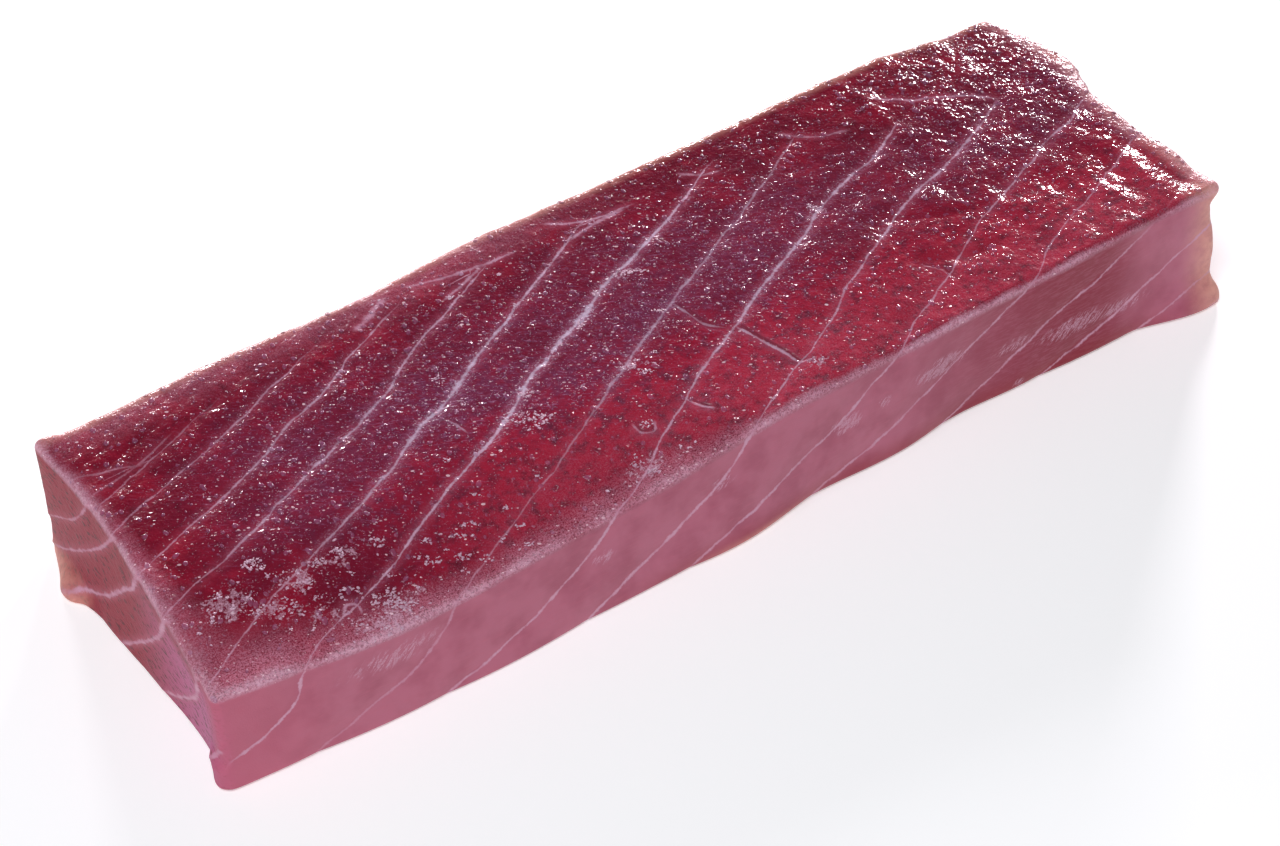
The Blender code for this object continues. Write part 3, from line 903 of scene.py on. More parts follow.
@dataclass
class FleshSkin:
    """The visible flesh: a fine closed mesh over the block's form, with its relief and fields."""

    form: LoinForm
    cells: tuple[int, int, int] = (372, 122, 44)
    base_rings: int = 3
    base_spacing: float = 5.0
    pebble_height: float = 0.13
    pebble_size: float = 1.7
    grain_height: float = 0.05
    grain_size: float = 1.05
    lump_height: float = 0.16
    lump_size: float = 5.5
    cuts_from_rim: float = 7.0
    step_fade: float = 5.5
    step_width: float = 1.6
    ridge_reach: float = 1.8
    tear_reach: float = 2.4
    strand_reach: float = 3.0
    no_strand: float = 9.0
    arc_height: float = 0.24
    arc_width: float = 0.9
    arc_step: float = 0.5
    arc_step_fade: float = 4.0
    sheet_strength: Curve = (
        (-2.2, 0.0), (-1, 0.6), (0, 0.75), (1, 0.85), (2, 0.9), (3, 1.0), (4, 1.3), (5, 0.6),
        (6, 0.95), (7, 0.9), (8, 0.8), (9, 0.7), (10, 0.75), (11, 0.75), (12, 0.6), (14, 0.5),
    )
    sheets_end: Curve = (
        (-136, 21), (-90, 27), (-34, 31.5), (0, 32), (36, 32), (69, 28), (86, 20), (114, 12),
        (137, -2),
    )
    middle: Array = field(init=False)
    places: Array = field(init=False)
    normals: Array = field(init=False)
    fields: FleshFields = field(init=False)
    top_share: Array = field(init=False)

    def lattice(self) -> tuple[Array, list[tuple[int, ...]]]:
        """The plain block's fine lattice: every face gridded, the middle of the base coarse.

        Returns:
            The points in millimetres, and the faces as tuples of point numbers.
        """
        nx, ny, nz = self.cells
        numbers: dict[tuple[int, int, int], int] = {}

        def number(i: int, j: int, k: int) -> int:
            """The number of one lattice point, given out in the order of use."""
            return numbers.setdefault((i, j, k), len(numbers))

        def add_square(i: int, j: int, k: int, first: int, second: int) -> None:
            """Adds the face that spans one cell from a lattice point along two axes.

            Args:
                i: The point's step along X.
                j: Its step along Y.
                k: Its step along Z.
                first: The first axis, as 0, 1 or 2.
                second: The second axis, as 0, 1 or 2.
            """
            faces.append(tuple(
                number(i + (0 in axes), j + (1 in axes), k + (2 in axes))
                for axes in ((), (first,), (first, second), (second,))
            ))

        faces: list[tuple[int, ...]] = []
        for i in range(nx):
            for j in range(ny):
                add_square(i, j, nz, 0, 1)
                if min(i, j, nx - 1 - i, ny - 1 - j) < self.base_rings:
                    add_square(i, j, 0, 1, 0)
        for k in range(nz):
            for i in range(nx):
                add_square(i, 0, k, 0, 2)
                add_square(i, ny, k, 2, 0)
            for j in range(ny):
                add_square(0, j, k, 2, 1)
                add_square(nx, j, k, 1, 2)
        form = self.form
        step = np.array((form.length / nx, form.width / ny, form.height / nz))
        corner = np.array((-form.length / 2, -form.width / 2, 0.0))
        points = np.array(list(numbers)) * step + corner
        inner, base_faces = self.base_middle(numbers, points)
        return np.vstack([points, inner]), faces + base_faces

    def base_middle(
        self, numbers: dict[tuple[int, int, int], int], points: Array
    ) -> tuple[Array, list[tuple[int, ...]]]:
        """Closes the base inside its fine rings with a coarse net.

        Args:
            numbers: The lattice points' numbers.
            points: The lattice points.

        Returns:
            The net's own points, and its faces.
        """
        nx, ny, _ = self.cells
        ring = self.base_rings
        loop = [(i, ring) for i in range(ring, nx - ring)]
        loop += [(nx - ring, j) for j in range(ring, ny - ring)]
        loop += [(i, ny - ring) for i in range(nx - ring, ring, -1)]
        loop += [(ring, j) for j in range(ny - ring, ring, -1)]
        border = [numbers[(i, j, 0)] for i, j in loop]
        low = points[border].min(axis=0)[:2]
        high = points[border].max(axis=0)[:2]
        counts = np.maximum(((high - low) / self.base_spacing).astype(int), 2)
        axes = [np.linspace(low[a], high[a], counts[a] + 1)[1:-1] for a in (0, 1)]
        inner = np.array([(x, y, 0.0) for x in axes[0] for y in axes[1]])
        flat = [Vector(points[index][:2]) for index in border] + [Vector(p[:2]) for p in inner]
        edges = [(index, (index + 1) % len(border)) for index in range(len(border))]
        _, _, net, *_ = geometry.delaunay_2d_cdt(flat, edges, [], 0, 1e-6)
        number = border + [len(points) + index for index in range(len(inner))]
        return inner, [tuple(number[corner] for corner in reversed(face)) for face in net]

    def relief(self, places: Array, near: Faces) -> Array:
        """Fine relief along the outward direction: pebbled wet flesh, knife marks and tears.

        Args:
            places: The points in millimetres, one per row.
            near: How near each point is to each face.

        Returns:
            The relief's height in millimetres.
        """
        x, y, _ = places.T
        wet = patches(x, y, WET_PATCHES)
        pebbles = Lumps(11).at(places, self.pebble_size)
        grain = Lumps(12).at(places, self.grain_size)
        lumps = Lumps(13).at(places, self.lump_size)
        top = near.top * (0.45 + 0.75 * wet)
        rough = self.pebble_height * pebbles + self.grain_height * grain
        rolling = near.top * (0.65 + 0.8 * ramp(x, 20, 70) * (1 - ramp(x, 104, 124)))
        out = rough * (0.22 + top) + self.lump_height * lumps * (0.35 + rolling)
        flat = places[:, :2]
        inside = ease((through(self.form.back_rim, x) - y) / self.cuts_from_rim)
        for cut in CUTS:
            distance, share = cut.measure(flat)
            held = near.top * inside * tapered(share, 5)
            fade = bell(distance, self.step_fade)
            out += held * cut.height * bell(distance, cut.width)
            out += held * cut.step * fade * (ease(0.5 + distance / self.step_width) - 0.5)
        on_left = near.left**SHARP
        for arc in END_ARCS:
            distance, _ = arc.measure(places[:, 1:])
            held = on_left * arc.strength
            out += held * self.arc_height * bell(distance, self.arc_width)
            level = ease(0.5 + distance) - 0.5
            out += held * self.arc_step * bell(distance, self.arc_step_fade) * level
        return out

    def sheet_fields(self, places: Array, normals: Array, near: Faces) -> Array:
        """Phase of the tissue sheets, the gap between them in millimetres and their strength.

        Args:
            places: The points in millimetres, one per row.
            normals: The outward direction at each point.
            near: How near each point is to each face.

        Returns:
            Three numbers for each point.
        """
        position = self.form.flake_position(places)
        nudge = 0.5
        slopes = [
            (self.form.flake_position(places + nudge * axis) - position) / nudge
            for axis in np.eye(3)
        ]
        slope = np.stack(slopes, axis=1)
        slope -= (slope * normals).sum(axis=1, keepdims=True) * normals
        gap = 1.0 / np.clip(np.linalg.norm(slope, axis=1), 0.02, 0.4)
        ends = 1.0 - ease((places[:, 1] - through(self.sheets_end, places[:, 0])) / 5.0)
        at_right_end = 0.8 * ramp(position, 9.35, 9.85)
        at_left_end = 0.25 * (1.0 - ramp(places[:, 0], -110, -40))
        strength = through(self.sheet_strength, position)
        strength *= (1.0 - near.top * (1.0 - ends)) * (1.0 - near.top * at_right_end)
        strength *= (1.0 - at_left_end) * (1.0 - near.left**SHARP * (1.0 - near.top**SHARP))
        return np.stack([position, gap, strength], axis=1)

    def strand_fields(self, places: Array, near: Faces) -> Array:
        """Signed distance to the nearest strand, its weight there and its width.

        Args:
            places: The points in millimetres, one per row.
            near: How near each point is to each face.

        Returns:
            Three numbers for each point.
        """
        best = np.full(len(places), self.no_strand)
        weight = np.zeros(len(places))
        width = np.ones(len(places))
        on_top = [(strand, places[:, :2], near.top**SHARP) for strand in STRANDS + TEARS]
        on_left = near.left**SHARP * (1 - 0.7 * near.top**12)
        on_end = [(arc, places[:, 1:], on_left) for arc in END_ARCS]
        for strand, flat, held in on_top + on_end:
            distance, share = strand.measure(flat)
            nearer = (np.abs(distance) < np.abs(best)) & (held > 0.3)
            taper = tapered(share, 6, 0.1)
            reach = ramp(np.abs(distance), self.strand_reach, self.strand_reach - 1.2)
            best = np.where(nearer, distance, best)
            weight = np.where(nearer, strand.strength * taper * reach * held, weight)
            width = np.where(nearer, strand.width, width)
        return np.stack([best, weight, width], axis=1)

    def cut_fields(self, places: Array, near: Faces) -> Array:
        """How far each point lies in a groove, beside a tear and on a ridge.

        Args:
            places: The points in millimetres, one per row.
            near: How near each point is to each face.

        Returns:
            Three numbers for each point.
        """
        flat = places[:, :2]
        groove = np.zeros(len(places))
        ridge = np.zeros(len(places))
        for cut in CUTS:
            distance, share = cut.measure(flat)
            held = near.top**SHARP * tapered(share, 4)
            depth = np.clip(-cut.height, 0, 1)
            groove = np.maximum(groove, held * depth * bell(distance, cut.width))
            rise = np.clip(3 * cut.height, 0, 1)
            ridge = np.maximum(ridge, held * rise * bell(distance, self.ridge_reach))
        tear = np.zeros(len(places))
        for stroke in TEARS:
            distance, share = stroke.measure(flat)
            held = near.top**SHARP * tapered(share, 6)
            reach = ramp(np.abs(distance), self.tear_reach, self.tear_reach - 0.8)
            tear = np.maximum(tear, held * stroke.strength * reach)
        return np.stack([groove, tear, ridge], axis=1)

    def build(self) -> bpy.types.Object:
        """Makes the skin's mesh.

        Returns:
            The skin, placed in the solid's frame.
        """
        block, faces = self.lattice()
        near = self.form.faces(block)
        rounded, normals = self.form.round_edges(block)
        places = self.form.shape(rounded, near)
        above_base = ease(places[:, 2] / 2.5)
        places = places + normals * (self.relief(places, near) * above_base)[:, None]
        places[:, 2] = np.maximum(places[:, 2], 0.0)
        self.middle = (places.min(axis=0) + places.max(axis=0)) / 2
        self.middle[2] = 0.0
        at = ZonePoints(self.form, block, places, near)
        zones, marks, face_shares, edges = ColourZones().fields(at)
        self.fields = FleshFields(
            sheets=self.sheet_fields(places, normals, near),
            strands=self.strand_fields(places, near),
            zones=zones,
            marks=marks,
            faces=face_shares,
            cuts=self.cut_fields(places, near),
            edges=edges,
        )
        self.places = places
        self.top_share = near.top * (block[:, 2] > self.form.height - 0.1)
        skin = placed_mesh("flesh_skin", places, faces, self.middle, self.fields)
        normals_now = np.empty(len(places) * 3, np.float32)
        skin.data.vertex_normals.foreach_get("vector", normals_now)
        self.normals = normals_now.reshape(-1, 3).astype(float)
        return skin


def placed_mesh(
    name: str,
    places: Array,
    faces: Sequence[Sequence[int]],
    middle: Array,
    fields: Union[FleshFields, None] = None,
) -> bpy.types.Object:
    """Makes an object of points in the form's frame, carried to the solid's frame.

    Args:
        name: The piece's name.
        places: The points in millimetres.
        faces: The faces, as point numbers.
        middle: The form's place that is the solid's origin.
        fields: What the finish reads at each point, if it reads any.

    Returns:
        The object, smooth shaded and in the scene.
    """
    mesh = bpy.data.meshes.new(name)
    mesh.from_pydata(((places - middle) * MM).tolist(), [], faces)
    if fields is not None:
        fields.store(mesh)
    mesh.update()
    mesh.shade_smooth()
    piece = bpy.data.objects.new(name, mesh)
    bpy.context.scene.collection.objects.link(piece)
    LOG.info("%s: %d points, %d faces", name, len(places), len(faces))
    return piece


class Operation(Enum):
    """The Math node operations that expressions use."""

    ADD = "ADD"
    SUBTRACT = "SUBTRACT"
    MULTIPLY = "MULTIPLY"
    DIVIDE = "DIVIDE"
    POWER = "POWER"
    ABSOLUTE = "ABSOLUTE"
    FRACTION = "FRACT"
    MAXIMUM = "MAXIMUM"


@dataclass(frozen=True)
class Signal:
    """A shader socket whose arithmetic adds Math nodes to its graph."""

    graph: ShaderGraph
    socket: bpy.types.NodeSocket

    def __add__(self, other: Value) -> Signal:
        """This plus the other."""
        return self.graph.math(Operation.ADD, self, other)

    __radd__ = __add__

    def __sub__(self, other: Value) -> Signal:
        """This less the other."""
        return self.graph.math(Operation.SUBTRACT, self, other)

    def __rsub__(self, other: Value) -> Signal:
        """The other less this."""
        return self.graph.math(Operation.SUBTRACT, other, self)

    def __mul__(self, other: Value) -> Signal:
        """This times the other."""
        return self.graph.math(Operation.MULTIPLY, self, other)

    __rmul__ = __mul__

    def __truediv__(self, other: Value) -> Signal:
        """This over the other."""
        return self.graph.math(Operation.DIVIDE, self, other)

    def __pow__(self, other: Value) -> Signal:
        """This to the power of the other."""
        return self.graph.math(Operation.POWER, self, other)

    def __abs__(self) -> Signal:
        """The size of this."""
        return self.graph.math(Operation.ABSOLUTE, self)


Value = Union[Signal, float]
Paint = Union[Signal, Colour]


class ShaderGraph:
    """One material's node tree."""

    def __init__(self, name: str) -> None:
        """Makes an empty material.

        Args:
            name: The material's name.
        """
        self.material = bpy.data.materials.new(name)
        self.material.use_nodes = True
        self.tree = self.material.node_tree
        self.tree.nodes.clear()

    def node(
        self,
        kind: str,
        settings: dict[str, Any] | None = None,
        sockets: dict[str, Any] | None = None,
    ) -> bpy.types.Node:
        """Adds a node.

        Args:
            kind: The node's type.
            settings: Its own settings, which are set first.
            sockets: Values or links of its inputs, by identifier or name.

        Returns:
            The node.
        """
        made = self.tree.nodes.new(kind)
        for key, value in (settings or {}).items():
            setattr(made, key, value)
        for key, value in (sockets or {}).items():
            by_identifier = [entry for entry in made.inputs if entry.identifier == key]
            target = by_identifier[0] if by_identifier else made.inputs[key]
            if isinstance(value, Signal):
                self.tree.links.new(value.socket, target)
            else:
                target.default_value = value
        return made

    def signal(self, made: bpy.types.Node, output: str) -> Signal:
        """One output of a node."""
        found = [entry for entry in made.outputs if entry.identifier == output]
        return Signal(self, found[0] if found else made.outputs[output])

    def math(self, operation: Operation, *values: Value) -> Signal:
        """A Math node on one or two values.

        Args:
            operation: What the node does.
            values: Its one or two inputs.

        Returns:
            The node's result.
        """
        made = self.node("ShaderNodeMath", {"operation": operation.value})
        for target, value in zip(made.inputs, values):
            if isinstance(value, Signal):
                self.tree.links.new(value.socket, target)
            else:
                target.default_value = value
        return self.signal(made, "Value")

    def highest(self, first: Signal, *others: Value) -> Signal:
        """Picks the highest of several values.

        Args:
            first: The first value.
            others: The values that it is compared with.

        Returns:
            The highest.
        """
        for other in others:
            first = self.math(Operation.MAXIMUM, first, other)
        return first

    def smooth(self, value: Signal, low: Value, high: Value) -> Signal:
        """A smooth step from 0 at low to 1 at high.

        Args:
            value: What is read.
            low: The value that gives 0.
            high: The value that gives 1.

        Returns:
            The step's height, from 0 to 1.
        """
        made = self.node(
            "ShaderNodeMapRange",
            {"interpolation_type": "SMOOTHSTEP"},
            {"Value": value, "From Min": low, "From Max": high},
        )
        return self.signal(made, "Result")

    def blend(self, share: Value, under: Paint, over: Paint) -> Signal:
        """The one colour laid over the other by a share.

        Args:
            share: How much of the upper colour shows.
            under: The colour below.
            over: The colour on top.

        Returns:
            The blended colour.
        """
        made = self.node(
            "ShaderNodeMix",
            {"data_type": "RGBA", "clamp_factor": True},
            {"Factor_Float": share, "A_Color": under, "B_Color": over},
        )
        return self.signal(made, "Result_Color")

    def laid(self, under: Paint, *layers: tuple[Value, Paint]) -> Paint:
        """Lays colours one over the other.

        Args:
            under: The colour below.
            layers: Each layer's share and its colour, from the lowest up.

        Returns:
            The blended colour.
        """
        for share, over in layers:
            under = self.blend(share, under, over)
        return under

    def place(self) -> Signal:
        """Each point's place on the piece, in millimetres.

        Returns:
            The place, which moves with the piece.
        """
        coordinates = self.signal(self.node("ShaderNodeTexCoord"), "Object")
        scaled = self.node("ShaderNodeVectorMath", {"operation": "SCALE"}, {"Scale": 1 / MM})
        self.tree.links.new(coordinates.socket, scaled.inputs[0])
        return self.signal(scaled, "Vector")

    def stretched(self, place: Signal, factors: tuple[float, float, float]) -> Signal:
        """A place with each axis multiplied, so that noise is drawn out along an axis.

        Args:
            place: The place.
            factors: What each axis is multiplied by.

        Returns:
            The stretched place.
        """
        made = self.node("ShaderNodeVectorMath", {"operation": "MULTIPLY"})
        self.tree.links.new(place.socket, made.inputs[0])
        made.inputs[1].default_value = factors
        return self.signal(made, "Vector")

    def turned(self, place: Signal, angle: float, axis: str = "Z_AXIS") -> Signal:
        """A place turned about an axis by an angle in radians.

        Args:
            place: The place.
            angle: The angle in radians.
            axis: The axis, as the node names it.

        Returns:
            The turned place.
        """
        made = self.node(
            "ShaderNodeVectorRotate", {"rotation_type": axis}, {"Vector": place, "Angle": angle}
        )
        return self.signal(made, "Vector")

    def noise(self, place: Signal, size: float, detail: float = 2.0, rough: float = 0.5) -> Signal:
        """Noise from about 0 to 1 whose lumps are this many millimetres wide.

        Args:
            place: The point's place in millimetres.
            size: The lumps' width.
            detail: How many finer layers lie on it.
            rough: How strong the finer layers are.

        Returns:
            The noise.
        """
        made = self.node(
            "ShaderNodeTexNoise",
            sockets={"Vector": place, "Scale": 1 / size, "Detail": detail, "Roughness": rough},
        )
        return self.signal(made, "Fac")

    def parts(self, vector: Signal) -> tuple[Signal, Signal, Signal]:
        """The three numbers of a vector or colour."""
        split = self.node("ShaderNodeSeparateXYZ", sockets={"Vector": vector})
        return self.signal(split, "X"), self.signal(split, "Y"), self.signal(split, "Z")

    def cells(self, place: Signal, size: float) -> tuple[Signal, Signal, Signal, Signal]:
        """Cells scattered over space, with one seed point and three random numbers each.

        Args:
            place: The point's place in millimetres.
            size: The cells' width in millimetres.

        Returns:
            The distance from the nearest seed point, and its cell's three numbers.
        """
        made = self.node("ShaderNodeTexVoronoi", sockets={"Vector": place, "Scale": 1 / size})
        return self.signal(made, "Distance"), *self.parts(self.signal(made, "Color"))

    def domes(self, place: Signal, size: float, density: Value) -> Signal:
        """Scattered round drops of water.

        Args:
            place: The point's place in millimetres.
            size: The width of the cell that a drop lies in, in millimetres.
            density: The share of the cells that hold a drop.

        Returns:
            The water's height in millimetres.
        """
        distance, rank, spread, _ = self.cells(place, size)
        radius = spread**2.0 * 0.3 + 0.12
        share = distance / radius
        dome = self.highest(1 - share * share, 0.0)
        held = self.smooth(density - rank, 0.0, 0.08)
        return dome * radius * held * (0.26 * size)

    def dots(self, place: Signal, size: float, density: Value) -> Signal:
        """Scattered small dots.

        Args:
            place: The point's place in millimetres.
            size: The width of the cell that a dot lies in, in millimetres.
            density: The share of the cells that hold a dot.

        Returns:
            The dots' cover, from 0 to 1.
        """
        distance, rank, spread, strength = self.cells(place, size)
        radius = spread**2.0 * 0.2 + 0.09
        inside = self.smooth(radius - distance, 0.0, 0.07)
        cover = strength * 0.55 + 0.45
        return inside * cover * self.smooth(density - rank, 0.0, 0.04)

    def field(self, name: str) -> tuple[Signal, Signal, Signal]:
        """The three numbers that the mesh stores under a name.

        Args:
            name: The field's name.

        Returns:
            The three numbers.
        """
        made = self.node("ShaderNodeAttribute", {"attribute_name": name})
        return self.parts(self.signal(made, "Vector"))

    def bump(self, height: Signal, strength: float = 1.0) -> Signal:
        """The normal of a surface raised by a height in millimetres.

        Args:
            height: The height in millimetres.
            strength: How much of the relief the light sees.

        Returns:
            The normal.
        """
        made = self.node(
            "ShaderNodeBump", sockets={"Height": height, "Distance": MM, "Strength": strength}
        )
        return self.signal(made, "Normal")

    def finish(self, sockets: dict[str, Any]) -> bpy.types.Material:
        """Ends the graph with a Principled shader that has these inputs.

        Args:
            sockets: The shader's inputs, by name.

        Returns:
            The finished material.
        """
        shader = self.node("ShaderNodeBsdfPrincipled", sockets=sockets)
        output = self.node("ShaderNodeOutputMaterial")
        self.tree.links.new(shader.outputs["BSDF"], output.inputs["Surface"])
        return self.material


@dataclass(frozen=True)
class FleshFinish:
    """Raw tuna: crimson and purple on top, rose on the cut sides, white tissue lines, wet shine;
    some sheen and glints are painted into the colour.
    """

    name: str = "raw_tuna_flesh"
    crimson: Colour = srgb(116, 10, 38)
    dark_red: Colour = srgb(86, 5, 26)
    bright_red: Colour = srgb(156, 18, 46)
    vivid_red: Colour = srgb(186, 24, 56)
    purple: Colour = srgb(118, 44, 76)
    lilac: Colour = srgb(158, 104, 142)
    rose: Colour = srgb(194, 108, 132)
    rose_dark: Colour = srgb(176, 88, 112)
    ruddy: Colour = srgb(148, 40, 64)
    end_mauve: Colour = srgb(190, 88, 136)
    end_red: Colour = srgb(148, 0, 22)
    pale: Colour = srgb(200, 104, 128)
    # Orange, kept light partly as painted light shining through the thin edges
    orange: Colour = srgb(242, 176, 160)
    line: Colour = srgb(214, 186, 210)
    pink_line: Colour = srgb(216, 160, 184)
    granule: Colour = srgb(212, 140, 164)
    rim: Colour = srgb(234, 184, 206)
    # The colour of the small white specks, which are painted glints as well as frost grains
    frost_and_glint_specks: Colour = srgb(255, 218, 230)
    frost: Colour = srgb(216, 166, 188)
    # How far the colour is lightened toward lilac, as painted sheen on the water beads
    painted_sheen: float = 0.0
    bump_strength: float = 1.0
    refraction: float = 1.38
    soft_share: float = 0.12
    soft_reach: tuple[float, float, float] = (1.0, 0.25, 0.22)
    soft_metres: float = 0.0025
    broad_size: float = 11.0
    mottle_size: float = 2.6
    speck_size: float = 0.75
    grain_size: float = 0.36
    fibre_size: float = 0.7
    dash_size: float = 1.1
    ripple_size: float = 2.0
    fine_size: float = 0.95
    large_drop_cell: float = 2.1
    small_drop_cell: float = 1.15
    large_speck_cell: float = 1.15
    small_speck_cell: float = 0.72
    band_speck_cell: float = 0.5
    ripple_height: float = 0.16
    wet_ripple_height: float = 0.34
    ridge_ripple_height: float = 0.12
    fine_height: float = 0.04
    wet_fine_height: float = 0.2
    grain_height: float = 0.01
    pale_grain_height: float = 0.06
    rim_grain_height: float = 0.1
    fibre_height: float = 0.05
    dash_height: float = 0.22
    slit_depth: float = 0.15
    wet_roughness: float = 0.11
    speck_roughness: float = 0.07
    side_roughness: float = 0.28
    end_roughness: float = 0.1
    pale_roughness: float = 0.2
    frost_roughness: float = 0.1

    def build(self) -> bpy.types.Material:
        """Makes the material."""
        return FleshPaint(self).material()


class FleshPaint:
    """The graph of one flesh finish: the fields and noises that its colour and relief share."""

    def __init__(self, finish: FleshFinish) -> None:
        """Reads the mesh's fields and lays out the noises.

        Args:
            finish: The colours and strengths.
        """
        self.finish = finish
        self.graph = graph = ShaderGraph(finish.name)
        self.place = place = graph.place()
        self.side, self.purple, self.pale = graph.field("zones")
        self.orange, self.frost, self.wet = graph.field("marks")
        self.at_left, self.deep, self.ruddy = graph.field("faces")
        self.groove, self.tear, self.ridge = graph.field("cuts")
        self.rim, self.frost_and_glint_specks, self.band = graph.field("edges")
        self.on_top = 1 - self.side
        self.broad = graph.noise(place, finish.broad_size, 3.0, 0.55)
        self.mottle = graph.noise(place, finish.mottle_size, 4.0, 0.62)
        self.speck = graph.noise(place, finish.speck_size, 2.0, 0.6)
        self.grain = graph.noise(place, finish.grain_size, 2.0, 0.7)
        along = graph.stretched(place, (0.25, 1.3, 1.3))
        self.fibre = graph.noise(along, finish.fibre_size, 3.0, 0.6)
        around = graph.stretched(place, (1.0, 0.45, 1.4))
        self.dashes = graph.noise(around, finish.dash_size, 3.0, 0.6)
        self.across = graph.turned(place, 0.55)
        large = graph.domes(place, finish.large_drop_cell, 0.06 + 0.34 * self.wet)
        squeezed = graph.stretched(place, (1.0, 1.0, 0.9))
        small = graph.domes(squeezed, finish.small_drop_cell, 0.2 + 0.4 * self.wet)
        self.water = graph.highest(large, small) * self.on_top

    def tissue_lines(self) -> tuple[Signal, Signal, Signal, Signal]:
        """The white lines, the veil of colour beside them, and the slits of small tears.

        Returns:
            The lines' cover, the veil's, how near the point is to a sheet, and the slits' cover.
        """
        graph, place, side, purple = self.graph, self.place, self.side, self.purple
        phase, gap, strength = graph.field("sheets")
        off, weight, width = graph.field("strands")
        wander = (graph.noise(place, 8.0, 3.0) - 0.5) * 2.2
        fuzz = (graph.noise(place, 0.8, 4.0, 0.75) - 0.5) * 1.4
        patchy = graph.smooth(graph.noise(place, 3.4, 3.0, 0.6), 0.3, 0.68)
        turn = graph.math(Operation.FRACTION, phase + wander / gap + 0.5)
        distance = abs(turn - 0.5) * gap
        reach = (0.3 + 0.5 * purple * strength + 0.28 * side) * (0.6 + 0.6 * patchy)
        core = 1 - graph.smooth(distance + fuzz * reach * 1.5, 0.05, 1.1 * reach)
        main = core * strength * (0.45 + 0.55 * patchy) * (1 + 0.35 * side)
        strand_reach = width * (0.35 + 0.55 * patchy)
        strand_distance = abs(off + wander * 0.2)
        strand = 1 - graph.smooth(strand_distance + fuzz * strand_reach, 0.1, strand_reach)
        strand = strand * weight * (0.45 + 0.55 * patchy)
        crumbled = graph.smooth(graph.noise(place, 0.45, 2.0, 0.6), 0.52, 0.6)
        fringe = (1 - graph.smooth(distance, 0.5, 2.4)) * crumbled * purple * strength * patchy
        glow = (0.16 + 0.22 * purple) * (1 - 0.6 * side)
        veil = (1 - graph.smooth(distance + fuzz, 0.0, 3.0)) * strength * glow
        near_strand = (1 - graph.smooth(strand_distance, 0.0, 2.6)) * weight * 0.4
        beside = (1 - graph.smooth(distance, 0.8, 2.6)) * strength * purple
        slit = (1 - graph.smooth(abs(off - 0.6), 0.1, 0.6)) * self.tear
        lines = graph.highest(main, fringe * 0.8, strand)
        return lines, graph.highest(veil, near_strand), beside, slit

    def top_colour(self) -> Paint:
        """Crimson to vivid red, with the purple belt and its lilac streaks and specks; the belt and
        the streaks are partly painted sheen and reflection.

        Returns:
            The colour.
        """
        graph, finish, mottle, purple = self.graph, self.finish, self.mottle, self.purple
        smooth = graph.smooth
        # Lilac streaks turned to run one way across the top: fibre ends and painted reflection
        drawn_out = graph.stretched(self.across, (0.28, 1.3, 1.3))
        reflection_streaks = graph.noise(drawn_out, finish.fibre_size, 3.0, 0.6)
        # Painted sheen: fine pale specks, thickest in the purple belt
        sheen_specks = smooth(graph.noise(self.place, 0.5, 1.0, 0.5), 0.64, 0.74)
        sheen_specks = sheen_specks * smooth(mottle, 0.35, 0.6) * (0.22 + 0.55 * purple)
        return graph.laid(
            finish.crimson,
            (smooth(self.broad, 0.34, 0.84), finish.bright_red),
            (smooth(mottle, 0.48, 0.75) * 0.75, finish.dark_red),
            # The purple belt: flesh tone and painted sheen
            (purple * (0.4 + 0.6 * smooth(mottle, 0.3, 0.62)), finish.purple),
            (self.deep * smooth(mottle, 0.7, 0.4), finish.vivid_red),
            (smooth(reflection_streaks, 0.56, 0.72) * (0.1 + 0.6 * purple), finish.lilac),
            (smooth(self.speck, 0.62, 0.72) * (0.1 + 0.5 * purple), finish.lilac),
            # Painted sheen: the water drops lightened toward lilac
            (smooth(self.water, 0.0, 0.1) * (0.05 + 0.2 * purple), finish.lilac),
            (sheen_specks, finish.line),
        )

    def side_colour(self) -> Paint:
        """Rose cut sides, paler than the top partly as painted sheen, and the mauve left end with
        its dark red dashes.

        Returns:
            The colour.
        """
        graph, finish, ruddy = self.graph, self.finish, self.ruddy
        smooth = graph.smooth
        # The rose sides are paler than the top: the flesh's own tone and painted sheen
        rose = graph.laid(
            finish.rose,
            (smooth(self.broad, 0.35, 0.7), finish.rose_dark),
            (smooth(self.fibre, 0.5, 0.75) * 0.35, finish.pale),
            (ruddy * (0.7 + 0.3 * smooth(self.fibre, 0.35, 0.6)), finish.ruddy),
            (self.deep * 0.6, finish.end_red),
        )
        end = graph.laid(
            finish.end_mauve,
            (ruddy * 0.9, finish.end_red),
            (smooth(self.dashes, 0.54, 0.64) * 0.9, finish.dark_red),
        )
        return graph.blend(self.at_left, rose, end)

    def banded(self, flesh: Paint, veil: Signal) -> Paint:
        """Lays the pale bands, the orange fringes, the grooves and the veil on the flesh.

        Args:
            flesh: The colour below.
            veil: The cover of the veil beside the tissue lines.

        Returns:
            The colour.
        """
        graph, finish, on_top = self.graph, self.finish, self.on_top
        smooth = graph.smooth
        granules = smooth(self.grain, 0.46, 0.58)
        pits = 1 - smooth(self.grain, 0.36, 0.44)
        return graph.laid(
            flesh,
            (self.pale * (0.5 + 0.4 * self.side), finish.pale),
            (self.pale * on_top * granules * 0.6, finish.granule),
            (self.band * on_top * pits * 0.9, finish.dark_red),
            # Orange: the flesh's own tone, and partly painted light shining through the thin edges
            (self.orange * (0.55 + 0.4 * smooth(self.mottle, 0.2, 0.7)), finish.orange),
            (self.groove * 0.8, finish.bright_red),
            (veil, graph.blend(self.purple * 0.7, finish.pale, finish.lilac)),
        )

